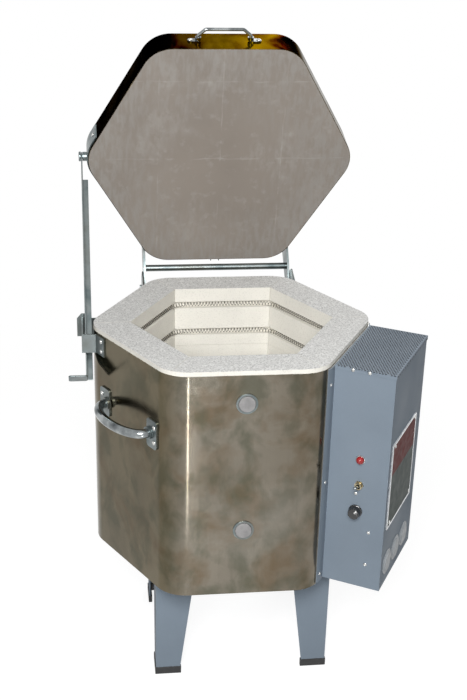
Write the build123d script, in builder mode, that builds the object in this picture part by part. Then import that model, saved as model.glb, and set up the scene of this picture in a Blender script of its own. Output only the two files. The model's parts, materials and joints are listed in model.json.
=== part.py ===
"""Test kiln: a hexagonal firebrick chamber on four legs, with a hinged lid and a control box."""

import os
from copy import copy
from math import atan2, cos, degrees, hypot, radians, sin, tan

from build123d import *

# Kiln body, a hexagon with flats at the front and back and corners at the sides
jacket_across_flats = 438.0
jacket_corner = 58.0
jacket_sheet = 1.0
brick_thickness = 62.5
row_height = 114.3
row_count = 3
row_joint = 0.6
floor_thickness = 63.5
base_board_thickness = 15.5
base_pan_sheet = 1.5
leg_height = 228.6
brick_proud = 7.7

# Heating element grooves in each row of bricks
groove_first = 32.2
groove_pitch = 54.6
groove_height = 12.7
groove_depth = 10.5
element_height = 9.0
element_clearance = 0.6
terminal_spacing = 28.0
bush_diameter = 11.0
bush_bore = 5.0
bush_reach = 16.0
stud_diameter = 4.4
stud_reach = 12.0
stud_nut_diameter = 8.0
stud_nut_length = 6.0

# Peepholes on the front face, given by their depth below the top of the top and of the bottom row
peephole_first = 58.0
peephole_second = 67.4
peephole_outer = 15.2
peephole_inner = 11.0
bush_ring_radius = 18.0
bush_ring_thickness = 1.6
bush_tube_wall = 0.8
bush_tube_length = 14.0
plug_clearance = 0.5
plug_proud = 1.5

# Legs of bent sheet with plastic caps
leg_inset_x = 121.0
leg_inset_y = 166.0
leg_offset_x = 15.0
leg_sheet = 2.0
leg_top_width = 72.0
leg_foot_width = 43.5
leg_flange = 52.0
cap_height = 15.0
cap_floor = 3.0
cap_wall = 1.5
cap_inner_wall = 3.5
leg_bolt_diameter = 6.0
leg_bolt_head = 10.0
leg_bolt_head_height = 4.0

# Lid
lid_overhang = 1.0
lid_thickness = 66.0
lid_band_sheet = 1.0
lid_slab_inset = 1.0
lid_open = 75.8
hinge_standoff = 42.0
hinge_drop = 37.0

# Lid hinge
arm_standoff = 14.56
arm_sheet = 4.0
arm_flange_length = 42.0
arm_low = 10.0
arm_high = 56.0
arm_back = 30.0
arm_eye = 13.0
arm_flange_sheet = 2.0
arm_screw_spacing = 26.0
arm_screw_reach = 24.0
rod_standoff = 11.5
rod_drop = 12.0
rod_diameter = 12.7
rod_wall = 1.6
rod_overhang = 0.5
ear_gap = 1.0
ear_sheet = 3.0
ear_flange_length = 36.0
ear_low = 74.0
ear_high = 16.0
ear_tip = 3.0
ear_flange_sheet = 2.4
ear_screw_spacing = 34.0
ear_screw_reach = 22.0
pin_diameter = 9.0
pin_fit = 0.3
pin_head = 15.0
pin_head_height = 4.0

# Lid handle, a bent wire bail
bail_half_foot = 63.0
bail_half_leg = 47.0
bail_half_grip = 34.0
bail_rise = 22.0
bail_shoulder = 11.0
bail_wire = 6.0
bail_foot_width = 13.0
bail_foot_thickness = 2.5
bail_boss = 11.0
bail_boss_height = 5.5

# Lid prop, an angle bar that slides through a guide on the left corner
prop_pivot_y = 7.0
prop_pivot_rise = 31.0
guide_point_y = 8.0
guide_point_drop = 28.0
prop_standoff = 14.094
prop_width = 12.0
prop_depth = 16.0
prop_sheet = 2.5
prop_web_start = 46.0
prop_below_guide = 80.0
prop_tab_length = 30.0
prop_tab_depth = 24.0
prop_pin_diameter = 8.0
prop_pin_head = 18.0
prop_pin_head_height = 4.0
prop_boss_diameter = 17.0
prop_strap_sheet = 2.5
prop_strap_angle = 11.0
prop_strap_low = 8.0
prop_strap_high = 58.0
strap_screw_t = 86.0
guide_standoff = 20.094
guide_sheet = 2.5
guide_front = 27.0
guide_rear = 50.0
guide_top = 11.0
guide_height = 34.0
guide_wing = 8.0
guide_wing_rise = 9.0
guide_wing_width = 24.0
guide_flange = 26.0
guide_screw_spacing = 18.0
guide_screw_reach = 16.0

# Lifting handles on the front left and back right faces
handle_center = 4.5
handle_drop = 128.0
handle_half_span = 67.0
handle_rise = 37.0
handle_straight = 5.0
handle_tube = 15.9
bracket_center = 74.0
bracket_width = 29.0
bracket_height = 52.0
bracket_sheet = 3.0
bracket_collar_radius = 11.0
bracket_collar_height = 4.0
bracket_screw_offset = 7.5
bracket_screw_spacing = 27.0

# Screws in the jacket and in the lid band
screw_diameter = 4.0
screw_head = 8.0
screw_head_height = 2.4
screw_length = 9.0

# Seam strip at the back of the jacket and clamp at the back of the lid band
seam_width = 30.0
seam_sheet = 1.2
seam_screw_count = 6
seam_screw_margin = 14.0
clamp_gap = 14.0
clamp_width = 24.0
clamp_height = 34.0
clamp_sheet = 1.6
clamp_rise = 14.0
clamp_bolt_diameter = 5.0
clamp_nut_diameter = 9.0
clamp_nut_height = 4.0

# Control box on the front right face; t runs along the face towards the back
box_depth = 106.6
box_front_t = -85.7
box_rear_t = 101.6
box_sheet = 1.2
box_bottom_gap = 2.2
box_front_turn = 26.8
box_rear_turn = 28.0
grille_sheet = 1.2
grille_lip = 6.0
box_screw_head = 6.4
box_screw_head_height = 1.9
box_screw_diameter = 3.0
box_screw_length = 5.0
box_screw_turn = 7.0
box_flange_top = 39.0
box_flange_bottom = 16.2
grille_screw_places = (33.3, 62.0)
grille_screw_drop = 3.6

# Controls on the front side of the box: distance from the jacket and height above the box's bottom
lamp_place = (56.7, 248.6)
toggle_place = (57.3, 200.6)
panel_screw_place = (52.5, 182.8)
knob_place = (54.5, 149.7)
block_screw_places = ((80.0, 111.9), (78.5, 47.2))
lamp_radius = 7.4
lamp_bezel_radius = 8.6
lamp_bezel_height = 2.0
lamp_dome = 7.0
lamp_body_length = 28.0
toggle_bush_radius = 5.8
toggle_bush_height = 8.0
toggle_nut_radius = 8.0
toggle_nut_height = 2.4
toggle_body = (15.0, 26.0, 24.0)
toggle_lean = 15.0
toggle_swing = 30.0
toggle_lever_length = 19.0
toggle_lever_root = 1.9
toggle_lever_tip = 3.0
toggle_bore = 4.4
toggle_pin_radius = 1.2
toggle_pin_reach = 4.15
lever_clearance = 0.5
knob_radius = 10.5
knob_height = 14.0
knob_skirt_radius = 12.0
knob_skirt_height = 3.0
knob_gap = 0.8
knob_pointer_turn = -37.0
knob_pointer_length = 8.5
knob_pointer_width = 2.4
knob_pointer_height = 0.8
switch_shaft_radius = 3.2
switch_bush_radius = 5.0
switch_body = (34.0, 40.0, 22.0)
switch_bush_height = 4.0
switch_nut_radius = 7.5
switch_nut_height = 2.4
shaft_clearance = 0.3

# Rating plate and blank plugs on the outer side of the box
plate_t = -5.0
plate_middle = 200.2
plate_width = 142.0
plate_height = 162.0
plate_sheet = 1.5
plate_rim = 3.0
plate_rim_height = 1.2
plate_screw_t = 60.0
plate_screw_spacing = 147.0
plug_middle = 41.2
plug_spacing = 50.5
plug_radius = 23.0
plug_flange = 1.2
plug_dome = 2.2
plug_skirt_radius = 19.0
plug_skirt_length = 5.0

# Inside the control box
block_size = (26.0, 84.0, 20.0)
block_way_count = 5
block_margin = 12.0
relay_size = (46.0, 62.0, 44.0)
relay_middle = 91.2
relay_t = 52.0
relay_post_radius = 3.5
relay_post_height = 5.0
wire_radius = 1.5
gland_t = 62.0
gland_standoff = 43.0
gland_radius = 10.0
gland_bore = 5.0
gland_nut_radius = 13.0
gland_nut_height = 6.0
gland_drop = 24.0

front, front_right, back_right, back, front_left = -90.0, -30.0, 30.0, 90.0, 210.0

jacket_apothem = jacket_across_flats / 2
jacket_reach = jacket_apothem / cos(radians(30)) - jacket_corner * (1 / cos(radians(30)) - 1)
brick_apothem = jacket_apothem - jacket_sheet
chamber_apothem = brick_apothem - brick_thickness
lid_across_flats = jacket_across_flats + 2 * lid_overhang
lid_apothem = lid_across_flats / 2
leg_span_x = jacket_across_flats - leg_inset_x
leg_span_y = jacket_across_flats - leg_inset_y
hinge_y = jacket_apothem + hinge_standoff
rod_y = jacket_apothem + rod_standoff
arm_x = jacket_apothem * tan(radians(30)) + arm_standoff
prop_outside = jacket_reach + prop_standoff
guide_outside = jacket_reach + guide_standoff
gland_n = jacket_apothem + gland_standoff
chamber_depth = row_height * row_count
pan_bottom = leg_height
board_bottom = pan_bottom + base_pan_sheet
floor_bottom = board_bottom + base_board_thickness
floor_top = floor_bottom + floor_thickness
rim_top = floor_top + chamber_depth
jacket_top = rim_top - brick_proud
groove_drops = [row * row_height + groove_first + step * groove_pitch
                for row in range(row_count) for step in range(2)]
box_front_n = jacket_apothem + box_depth
peephole_drops = (peephole_first, (row_count - 1) * row_height + peephole_second)
box_bottom = pan_bottom + box_bottom_gap
box_rise = rim_top - box_bottom
box_flange_drops = (box_flange_top, (box_flange_top + box_rise - box_flange_bottom) / 2,
                    box_rise - box_flange_bottom)
plate_drop = box_rise - plate_middle
plug_drop = box_rise - plug_middle
relay_drop = box_rise - relay_middle
hinge_z = rim_top - hinge_drop
hinge_turn = Pos(0, hinge_y, hinge_z) * Rot(X=-lid_open) * Pos(0, -hinge_y, -hinge_z)
pieces = []


def hexagon(apothem, corner=0.0):
    """Hexagon outline with flats at the front and back."""
    with BuildSketch() as outline:
        RegularPolygon(radius=apothem, side_count=6, major_radius=False)
        if corner > 0:
            fillet(outline.vertices(), radius=corner)
    return outline.sketch


def offset_hexagon(growth):
    """Outline of the jacket grown outwards by a sheet thickness."""
    return hexagon(jacket_apothem + growth, jacket_corner + growth)


def face_plane(angle, distance, height=0.0):
    """Plane on a side of the hexagon: x runs along the side, y runs up, z points outwards."""
    turn = radians(angle)
    return Plane(origin=(distance * cos(turn), distance * sin(turn), height),
                 x_dir=(-sin(turn), cos(turn), 0), z_dir=(cos(turn), sin(turn), 0))


def panel_plane(t, outwards=True):
    """Upright plane across the control box: x is the distance from the kiln's axis, y runs up."""
    base = face_plane(front_right, 0)
    turn = 1 if outwards else -1
    return Plane(origin=base.origin + base.x_dir * t, x_dir=base.z_dir * turn, z_dir=base.x_dir * -turn)


def opened(plane):
    """The same plane after the lid has swung open about its hinge."""
    return Plane(hinge_turn * plane.location)


def wedge(first, last, reach=600.0):
    """Corner points of a triangle from the kiln's axis between two directions."""
    return [(0, 0), (reach * cos(radians(first)), reach * sin(radians(first))),
            (reach * cos(radians(last)), reach * sin(radians(last)))]


def finish(piece, name):
    """Label a finished piece and keep it for export."""
    piece.part.label = name
    pieces.append(piece.part)


def slide_along(plane, across=0.0, rise=0.0):
    """The same plane moved within itself."""
    return Plane(origin=plane.origin + plane.x_dir * across + plane.y_dir * rise,
                 x_dir=plane.x_dir, z_dir=plane.z_dir)


def screw_set(planes, head, head_height, length):
    """Screws driven in at the given planes: a low round head and a plain shank."""
    with BuildPart() as screws:
        for plane in planes:
            with BuildSketch(plane):
                Circle(head / 2)
            extrude(amount=head_height, taper=20)
            with BuildSketch(plane):
                Circle(screw_diameter / 2)
            extrude(amount=-length)
    return screws


jacket_outline = offset_hexagon(0)
brick_outline = offset_hexagon(-jacket_sheet)
chamber_outline = hexagon(chamber_apothem)
groove_outline = hexagon(chamber_apothem + groove_depth)
element_inside = hexagon(chamber_apothem + element_clearance)
element_outside = hexagon(chamber_apothem + groove_depth - element_clearance)
lid_growth = (lid_across_flats - jacket_across_flats) / 2
lid_outline = offset_hexagon(lid_growth)
lid_inside = offset_hexagon(lid_growth - lid_band_sheet)
chassis_outline = offset_hexagon(box_sheet)
cover_flange_outline = offset_hexagon(2 * box_sheet)
strap_outline = offset_hexagon(lid_growth + prop_strap_sheet)

# Places where the hinge's plates and the prop guide meet the hexagon's slanted sides
handle_faces = {"left": (front_left, handle_center), "right": (back_right, -handle_center)}
handle_height = rim_top - handle_drop
ear_inner = arm_x + arm_sheet / 2 + ear_gap
hinge_sides = {"left": (-1, 180 - back_right), "right": (1, back_right)}
ear_seats = {}
arm_seats = {}
for side, (sign, angle) in hinge_sides.items():
    ear_x = sign * (ear_inner + ear_sheet / 2)
    ear_y = (jacket_apothem - abs(ear_x) * cos(radians(30))) / sin(radians(30))
    arm_y = (lid_apothem - arm_x * cos(radians(30))) / sin(radians(30))
    ear_seats[side] = (ear_x, ear_y, ear_y * cos(radians(angle)) - ear_x * sin(radians(angle)))
    arm_seats[side] = (sign * arm_x, arm_y, arm_y * cos(radians(angle)) - sign * arm_x * sin(radians(angle)))
guide_seats = []
for angle, seat_y, sign in ((front_left, -guide_front, 1), (180 - back_right, guide_rear, -1)):
    seat_x = -(jacket_apothem - abs(seat_y) * sin(radians(30))) / cos(radians(30))
    guide_seats.append((angle, seat_y * cos(radians(angle)) - seat_x * sin(radians(angle)), sign))

# Screws in the jacket: lifting handles, hinge ears, prop guide and seam strip
screw_planes = []
for angle, center in handle_faces.values():
    for across in (-bracket_center - bracket_screw_offset, bracket_center + bracket_screw_offset):
        for rise in (-bracket_screw_spacing / 2, bracket_screw_spacing / 2):
            screw_planes.append(slide_along(face_plane(angle, jacket_apothem + bracket_sheet, handle_height),
                                            center + across, rise))
for side, (sign, angle) in hinge_sides.items():
    ear_flange = face_plane(angle, jacket_apothem + ear_flange_sheet, rim_top - (ear_low + ear_high) / 2)
    for rise in (-ear_screw_spacing / 2, ear_screw_spacing / 2):
        screw_planes.append(slide_along(ear_flange, ear_seats[side][2] - sign * ear_screw_reach, rise))
for angle, seat_t, sign in guide_seats:
    guide_middle = rim_top - guide_top - guide_height / 2
    guide_flange_face = face_plane(angle, jacket_apothem + guide_sheet, guide_middle)
    for rise in (-guide_screw_spacing / 2, guide_screw_spacing / 2):
        screw_planes.append(slide_along(guide_flange_face, seat_t + sign * guide_screw_reach, rise))
seam_height = jacket_top - pan_bottom
seam_face = face_plane(back, jacket_apothem + seam_sheet, pan_bottom + seam_height / 2)
seam_pitch = (seam_height - 2 * seam_screw_margin) / (seam_screw_count - 1)
for step in range(seam_screw_count):
    for across in (-seam_width / 4, seam_width / 4):
        rise = seam_screw_margin - seam_height / 2 + step * seam_pitch
        screw_planes.append(slide_along(seam_face, across, rise))
jacket_screws = screw_set(screw_planes, screw_head, screw_head_height, screw_length)
finish(jacket_screws, "jacket_screws")

# Screws in the lid band: hinge arms, handle feet and prop strap
lid_middle = rim_top + lid_thickness / 2
lid_planes = []
for side, (sign, angle) in hinge_sides.items():
    arm_flange = face_plane(angle, lid_apothem + arm_flange_sheet, rim_top + (arm_low + arm_high) / 2)
    for rise in (-arm_screw_spacing / 2, arm_screw_spacing / 2):
        lid_planes.append(slide_along(arm_flange, arm_seats[side][2] - sign * arm_screw_reach, rise))
for across in (-bail_half_foot + bail_wire / 3, bail_half_foot - bail_wire / 3):
    lid_planes.append(slide_along(face_plane(front, lid_apothem + bail_foot_thickness, lid_middle), across))
for angle, across in ((front_left, -strap_screw_t), (180 - back_right, strap_screw_t)):
    lid_planes.append(slide_along(face_plane(angle, lid_apothem + prop_strap_sheet, lid_middle), across))
lid_screws = screw_set([opened(plane) for plane in lid_planes], screw_head, screw_head_height, screw_length)
finish(lid_screws, "lid_screws")

# Small screws in the control box: flanges, top grille, panel, rating plate
box_planes = []
corner_center = (jacket_apothem - jacket_corner) / cos(radians(30))
for corner, screw_turn in ((-60, box_screw_turn), (0, -box_screw_turn)):
    normal = front_right - screw_turn
    reach = jacket_corner + 2 * box_sheet
    origin_x = corner_center * cos(radians(corner)) + reach * cos(radians(normal))
    origin_y = corner_center * sin(radians(corner)) + reach * sin(radians(normal))
    for drop in box_flange_drops:
        box_planes.append(Plane(origin=(origin_x, origin_y, rim_top - drop),
                                x_dir=(-sin(radians(normal)), cos(radians(normal)), 0),
                                z_dir=(cos(radians(normal)), sin(radians(normal)), 0)))
panel = panel_plane(box_front_t)
for place in (panel_screw_place, *block_screw_places):
    box_planes.append(slide_along(panel, jacket_apothem + place[0], box_bottom + place[1]))
for place in grille_screw_places:
    box_planes.append(slide_along(panel.offset(grille_sheet), jacket_apothem + place,
                                  jacket_top - grille_screw_drop))
box_face = face_plane(front_right, box_front_n, rim_top)
for across in (-plate_screw_t, plate_screw_t):
    for drop in (plate_drop - plate_screw_spacing / 2, plate_drop + plate_screw_spacing / 2):
        box_planes.append(slide_along(box_face.offset(plate_sheet), across, -drop))
with BuildPart() as box_screws:
    for plane in box_planes:
        with BuildSketch(plane):
            Circle(box_screw_head / 2)
        extrude(amount=box_screw_head_height, taper=20)
        with BuildSketch(plane):
            Circle(box_screw_diameter / 2)
        extrude(amount=-box_screw_length)
finish(box_screws, "box_screws")

# Legs and caps: an angle section whose two flanges taper towards the foot
leg_places = {
    "front_left": (-1, -1), "front_right": (1, -1), "rear_left": (-1, 1), "rear_right": (1, 1),
}
for place, (side, end) in leg_places.items():
    corner_x = leg_offset_x + side * leg_span_x / 2
    corner_y = end * leg_span_y / 2
    taper = [(0, cap_floor), (leg_foot_width, cap_floor), (leg_top_width, leg_height), (0, leg_height)]
    with BuildPart() as leg:
        with BuildSketch(Plane(origin=(corner_x, corner_y, 0), x_dir=(-side, 0, 0), z_dir=(0, side, 0))):
            Polygon(*taper, align=None)
        extrude(amount=-side * end * leg_sheet)
        with BuildSketch(Plane(origin=(corner_x, corner_y, 0), x_dir=(0, -end, 0), z_dir=(-end, 0, 0))):
            Polygon(*taper, align=None)
        extrude(amount=side * end * leg_sheet)
        with BuildSketch(Plane(origin=(corner_x, corner_y, leg_height), x_dir=(-side, 0, 0),
                               z_dir=(0, 0, -1 if side * end < 0 else 1))):
            Polygon((0, 0), (leg_top_width, 0), (leg_flange, leg_flange), (0, leg_top_width), align=None)
        extrude(amount=leg_sheet if side * end < 0 else -leg_sheet)
        with BuildSketch(Plane(origin=(corner_x - side * leg_flange / 2, corner_y - end * leg_flange / 2,
                                       leg_height))):
            Circle(leg_bolt_diameter / 2)
        extrude(amount=-leg_sheet, mode=Mode.SUBTRACT)
    finish(leg, f"leg_{place}")

    outer_x = corner_x + side * cap_wall
    outer_y = corner_y + end * cap_wall
    cap_size = leg_foot_width + 3 * cap_wall
    cap_band = cap_wall + leg_sheet + cap_inner_wall
    slot_size = leg_foot_width + cap_wall * 1.1
    with BuildPart() as foot_cap:
        with BuildSketch():
            with Locations((outer_x - side * cap_size / 2, outer_y - end * cap_band / 2)):
                Rectangle(cap_size, cap_band)
            with Locations((outer_x - side * cap_band / 2, outer_y - end * cap_size / 2)):
                Rectangle(cap_band, cap_size)
        extrude(amount=cap_height)
        with BuildSketch(Plane.XY.offset(cap_floor)):
            with Locations((corner_x - side * slot_size / 2, corner_y - end * leg_sheet / 2)):
                Rectangle(slot_size, leg_sheet)
            with Locations((corner_x - side * leg_sheet / 2, corner_y - end * slot_size / 2)):
                Rectangle(leg_sheet, slot_size)
        extrude(amount=cap_height, mode=Mode.SUBTRACT)
    finish(foot_cap, f"foot_cap_{place}")

bolt_centers = [
    (leg_offset_x + side * (leg_span_x - leg_flange) / 2, end * (leg_span_y - leg_flange) / 2)
    for side, end in leg_places.values()
]
with BuildPart() as leg_bolts:
    with BuildSketch(Plane.XY.offset(pan_bottom - leg_sheet - leg_bolt_head_height)):
        with Locations(*bolt_centers):
            RegularPolygon(leg_bolt_head / 2, 6)
    extrude(amount=leg_bolt_head_height)
    with BuildSketch(Plane.XY.offset(pan_bottom - leg_sheet)):
        with Locations(*bolt_centers):
            Circle(leg_bolt_diameter / 2)
    extrude(amount=leg_sheet + base_pan_sheet)
finish(leg_bolts, "leg_bolts")

# Bottom of the body: steel pan, insulating board and firebrick floor
with BuildPart() as base_pan:
    with BuildSketch(Plane.XY.offset(pan_bottom)):
        add(brick_outline)
        with Locations(*bolt_centers):
            Circle(leg_bolt_diameter / 2, mode=Mode.SUBTRACT)
    extrude(amount=base_pan_sheet)
finish(base_pan, "base_pan")

with BuildPart() as base_board:
    with BuildSketch(Plane.XY.offset(board_bottom)):
        add(brick_outline)
    extrude(amount=base_board_thickness)
    add(jacket_screws.part, mode=Mode.SUBTRACT)
    add(box_screws.part, mode=Mode.SUBTRACT)
finish(base_board, "base_board")

# One slab under the brick rows is the chamber's floor
with BuildPart() as floor_slab:
    with BuildSketch(Plane.XY.offset(floor_bottom)):
        add(brick_outline)
    extrude(amount=floor_thickness)
    add(jacket_screws.part, mode=Mode.SUBTRACT)
    add(box_screws.part, mode=Mode.SUBTRACT)
finish(floor_slab, "floor_slab")


def terminal_planes(distance):
    """Planes at the two ends of every element, on the front right side."""
    return [(face_plane(front_right, distance, rim_top - drop), offset)
            for drop in groove_drops for offset in (-terminal_spacing / 2, terminal_spacing / 2)]


# Three rows of six mitred firebricks, with two element grooves in each row
row_names = ("brick_row_top", "brick_row_middle", "brick_row_bottom")
for row, row_name in enumerate(row_names):
    row_top = rim_top - row * row_height
    row_bottom = row_top - row_height
    with BuildPart() as brick_row:
        with BuildSketch(Plane.XY.offset(row_bottom)):
            add(brick_outline)
            add(chamber_outline, mode=Mode.SUBTRACT)
            with PolarLocations(0, 3, angular_range=180):
                Rectangle(3 * jacket_apothem, row_joint, mode=Mode.SUBTRACT)
        extrude(amount=row_height if row == 0 else row_height - row_joint)
        for drop in groove_drops[2 * row:2 * row + 2]:
            with BuildSketch(Plane.XY.offset(rim_top - drop - groove_height / 2)):
                add(groove_outline)
            extrude(amount=groove_height, mode=Mode.SUBTRACT)
            for offset in (-terminal_spacing / 2, terminal_spacing / 2):
                with BuildSketch(face_plane(front_right, chamber_apothem, rim_top - drop)):
                    with Locations((offset, 0)):
                        Circle(bush_diameter / 2)
                extrude(amount=brick_thickness + jacket_sheet, mode=Mode.SUBTRACT)
        for drop in peephole_drops:
            if row_bottom < rim_top - drop < row_top:
                with BuildSketch(face_plane(front, brick_apothem, rim_top - drop)):
                    Circle(peephole_outer)
                with BuildSketch(face_plane(front, chamber_apothem, rim_top - drop)):
                    Circle(peephole_inner)
                loft(mode=Mode.SUBTRACT)
        add(jacket_screws.part, mode=Mode.SUBTRACT)
        add(box_screws.part, mode=Mode.SUBTRACT)
    finish(brick_row, row_name)

# Heating elements: two loops to a row, each open between its two terminals
for row, row_name in enumerate(row_names):
    with BuildPart() as elements:
        for drop in groove_drops[2 * row:2 * row + 2]:
            with BuildSketch(Plane.XY.offset(rim_top - drop - element_height / 2)):
                add(element_outside)
                add(element_inside, mode=Mode.SUBTRACT)
                with Locations(face_plane(front_right, chamber_apothem).origin):
                    Rectangle(4 * groove_depth, terminal_spacing - bush_diameter, rotation=front_right,
                              mode=Mode.SUBTRACT)
            extrude(amount=element_height)
    finish(elements, row_name.replace("brick_row", "elements"))

bush_start = chamber_apothem + groove_depth
bush_length = jacket_apothem + bush_reach - bush_start
with BuildPart() as element_bushes:
    for plane, offset in terminal_planes(bush_start):
        with BuildSketch(plane):
            with Locations((offset, 0)):
                Circle(bush_diameter / 2)
                Circle(bush_bore / 2, mode=Mode.SUBTRACT)
        extrude(amount=bush_length)
finish(element_bushes, "element_bushes")

with BuildPart() as element_studs:
    for plane, offset in terminal_planes(bush_start):
        with BuildSketch(plane):
            with Locations((offset, 0)):
                Circle(stud_diameter / 2)
        extrude(amount=bush_length + stud_reach)
    for plane, offset in terminal_planes(bush_start + bush_length):
        with BuildSketch(plane):
            with Locations((offset, 0)):
                RegularPolygon(stud_nut_diameter / 2, 6)
        extrude(amount=stud_nut_length)
finish(element_studs, "element_studs")

# Stainless jacket with its seam strip at the back
with BuildPart() as jacket:
    with BuildSketch(Plane.XY.offset(pan_bottom)):
        add(jacket_outline)
        add(brick_outline, mode=Mode.SUBTRACT)
    extrude(amount=jacket_top - pan_bottom)
    for drop in peephole_drops:
        with BuildSketch(face_plane(front, brick_apothem, rim_top - drop)):
            Circle(peephole_outer)
        extrude(amount=jacket_sheet, mode=Mode.SUBTRACT)
    for plane, offset in terminal_planes(brick_apothem):
        with BuildSketch(plane):
            with Locations((offset, 0)):
                Circle(bush_diameter / 2)
        extrude(amount=jacket_sheet, mode=Mode.SUBTRACT)
    add(jacket_screws.part, mode=Mode.SUBTRACT)
    add(box_screws.part, mode=Mode.SUBTRACT)
finish(jacket, "jacket")

with BuildPart() as jacket_seam:
    with BuildSketch(seam_face):
        Rectangle(seam_width, seam_height)
    extrude(amount=-seam_sheet)
    add(jacket_screws.part, mode=Mode.SUBTRACT)
finish(jacket_seam, "jacket_seam_strip")

# Peephole eyelets and the plugs that stand in them
with BuildPart() as peephole_eyelets:
    for drop in peephole_drops:
        with BuildSketch(face_plane(front, jacket_apothem, rim_top - drop)):
            Circle(bush_ring_radius)
            Circle(peephole_outer - bush_tube_wall, mode=Mode.SUBTRACT)
        extrude(amount=bush_ring_thickness)
        with BuildSketch(face_plane(front, jacket_apothem, rim_top - drop)):
            Circle(peephole_outer)
            Circle(peephole_outer - bush_tube_wall, mode=Mode.SUBTRACT)
        extrude(amount=-jacket_sheet)
finish(peephole_eyelets, "peephole_eyelets")

plug_face = peephole_outer - bush_tube_wall - plug_clearance
for name, drop in zip(("peephole_plug_upper", "peephole_plug_lower"), peephole_drops):
    with BuildPart() as peephole_plug:
        with BuildSketch(face_plane(front, jacket_apothem + bush_ring_thickness, rim_top - drop)):
            Circle(plug_face)
        with BuildSketch(face_plane(front, chamber_apothem + plug_clearance, rim_top - drop)):
            Circle(peephole_inner - plug_clearance)
        loft()
        with BuildSketch(face_plane(front, jacket_apothem + bush_ring_thickness, rim_top - drop)):
            Circle(plug_face)
        extrude(amount=plug_proud)
        fillet(peephole_plug.faces().sort_by(Axis.Y)[0].edges(), radius=plug_proud / 2)
    finish(peephole_plug, name)

# Lifting handles: a bowed tube between two screwed brackets
with BuildPart() as handle_brackets:
    for angle, center in handle_faces.values():
        with BuildSketch(face_plane(angle, jacket_apothem, handle_height)):
            with Locations((center - bracket_center, 0), (center + bracket_center, 0)):
                RectangleRounded(bracket_width, bracket_height, bracket_width / 5)
        extrude(amount=bracket_sheet)
        with BuildSketch(face_plane(angle, jacket_apothem + bracket_sheet, handle_height)):
            with Locations((center - handle_half_span, 0), (center + handle_half_span, 0)):
                Circle(bracket_collar_radius)
                Circle(handle_tube / 2, mode=Mode.SUBTRACT)
        extrude(amount=bracket_collar_height)
    add(jacket_screws.part, mode=Mode.SUBTRACT)
finish(handle_brackets, "handle_brackets")

for side, (angle, center) in handle_faces.items():
    handle_base = face_plane(angle, jacket_apothem + bracket_sheet, handle_height)
    bow_plane = Plane(origin=handle_base.origin + handle_base.x_dir * center,
                      x_dir=handle_base.x_dir, z_dir=-handle_base.y_dir)
    with BuildPart() as body_handle:
        with BuildLine(bow_plane) as bow:
            Line((-handle_half_span, 0), (-handle_half_span, handle_straight))
            EllipticalCenterArc((0, handle_straight), handle_half_span, handle_rise - handle_straight,
                                start_angle=0, arc_size=180)
            Line((handle_half_span, handle_straight), (handle_half_span, 0))
        bow_wire = bow.wires()[0]
        with BuildSketch(Plane(bow_wire ^ 0)):
            Circle(handle_tube / 2)
        sweep(path=bow_wire)
    finish(body_handle, f"body_handle_{side}")

# Lid: firebrick slab in a stainless band
with BuildPart() as lid_slab:
    with BuildSketch(opened(Plane.XY.offset(rim_top))):
        add(lid_inside)
    extrude(amount=lid_thickness - lid_slab_inset)
    add(lid_screws.part, mode=Mode.SUBTRACT)
finish(lid_slab, "lid_slab")

with BuildPart() as lid_band:
    with BuildSketch(opened(Plane.XY.offset(rim_top))):
        add(lid_outline)
        add(lid_inside, mode=Mode.SUBTRACT)
    extrude(amount=lid_thickness)
    add(lid_screws.part, mode=Mode.SUBTRACT)
finish(lid_band, "lid_band")

clamp_z = rim_top + lid_thickness / 2
clamp_half = clamp_gap / 2 + clamp_sheet / 2
with BuildPart() as lid_band_clamp:
    for side in (-1, 1):
        with BuildSketch(opened(face_plane(back, lid_apothem, clamp_z))):
            with Locations((side * (clamp_gap + clamp_width) / 2, 0)):
                Rectangle(clamp_width, clamp_height)
        extrude(amount=clamp_sheet)
        with BuildSketch(opened(face_plane(back, lid_apothem, clamp_z))):
            with Locations((side * clamp_half, 0)):
                Rectangle(clamp_sheet, clamp_height)
        extrude(amount=clamp_rise)
    for rise in (-clamp_height / 4, clamp_height / 4):
        bolt_line = Plane(origin=(0, lid_apothem + clamp_rise / 2 + clamp_sheet, clamp_z + rise),
                          x_dir=(0, 1, 0), z_dir=(1, 0, 0))
        with BuildSketch(opened(bolt_line)):
            Circle(clamp_bolt_diameter / 2)
        extrude(amount=clamp_gap / 2 + clamp_sheet + clamp_nut_height, both=True)
        for side in (-1, 1):
            nut_start = side * (clamp_gap / 2 + clamp_sheet)
            with BuildSketch(opened(bolt_line.offset(nut_start))):
                RegularPolygon(clamp_nut_diameter / 2, 6)
            extrude(amount=side * clamp_nut_height)
finish(lid_band_clamp, "lid_band_clamp")

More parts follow.
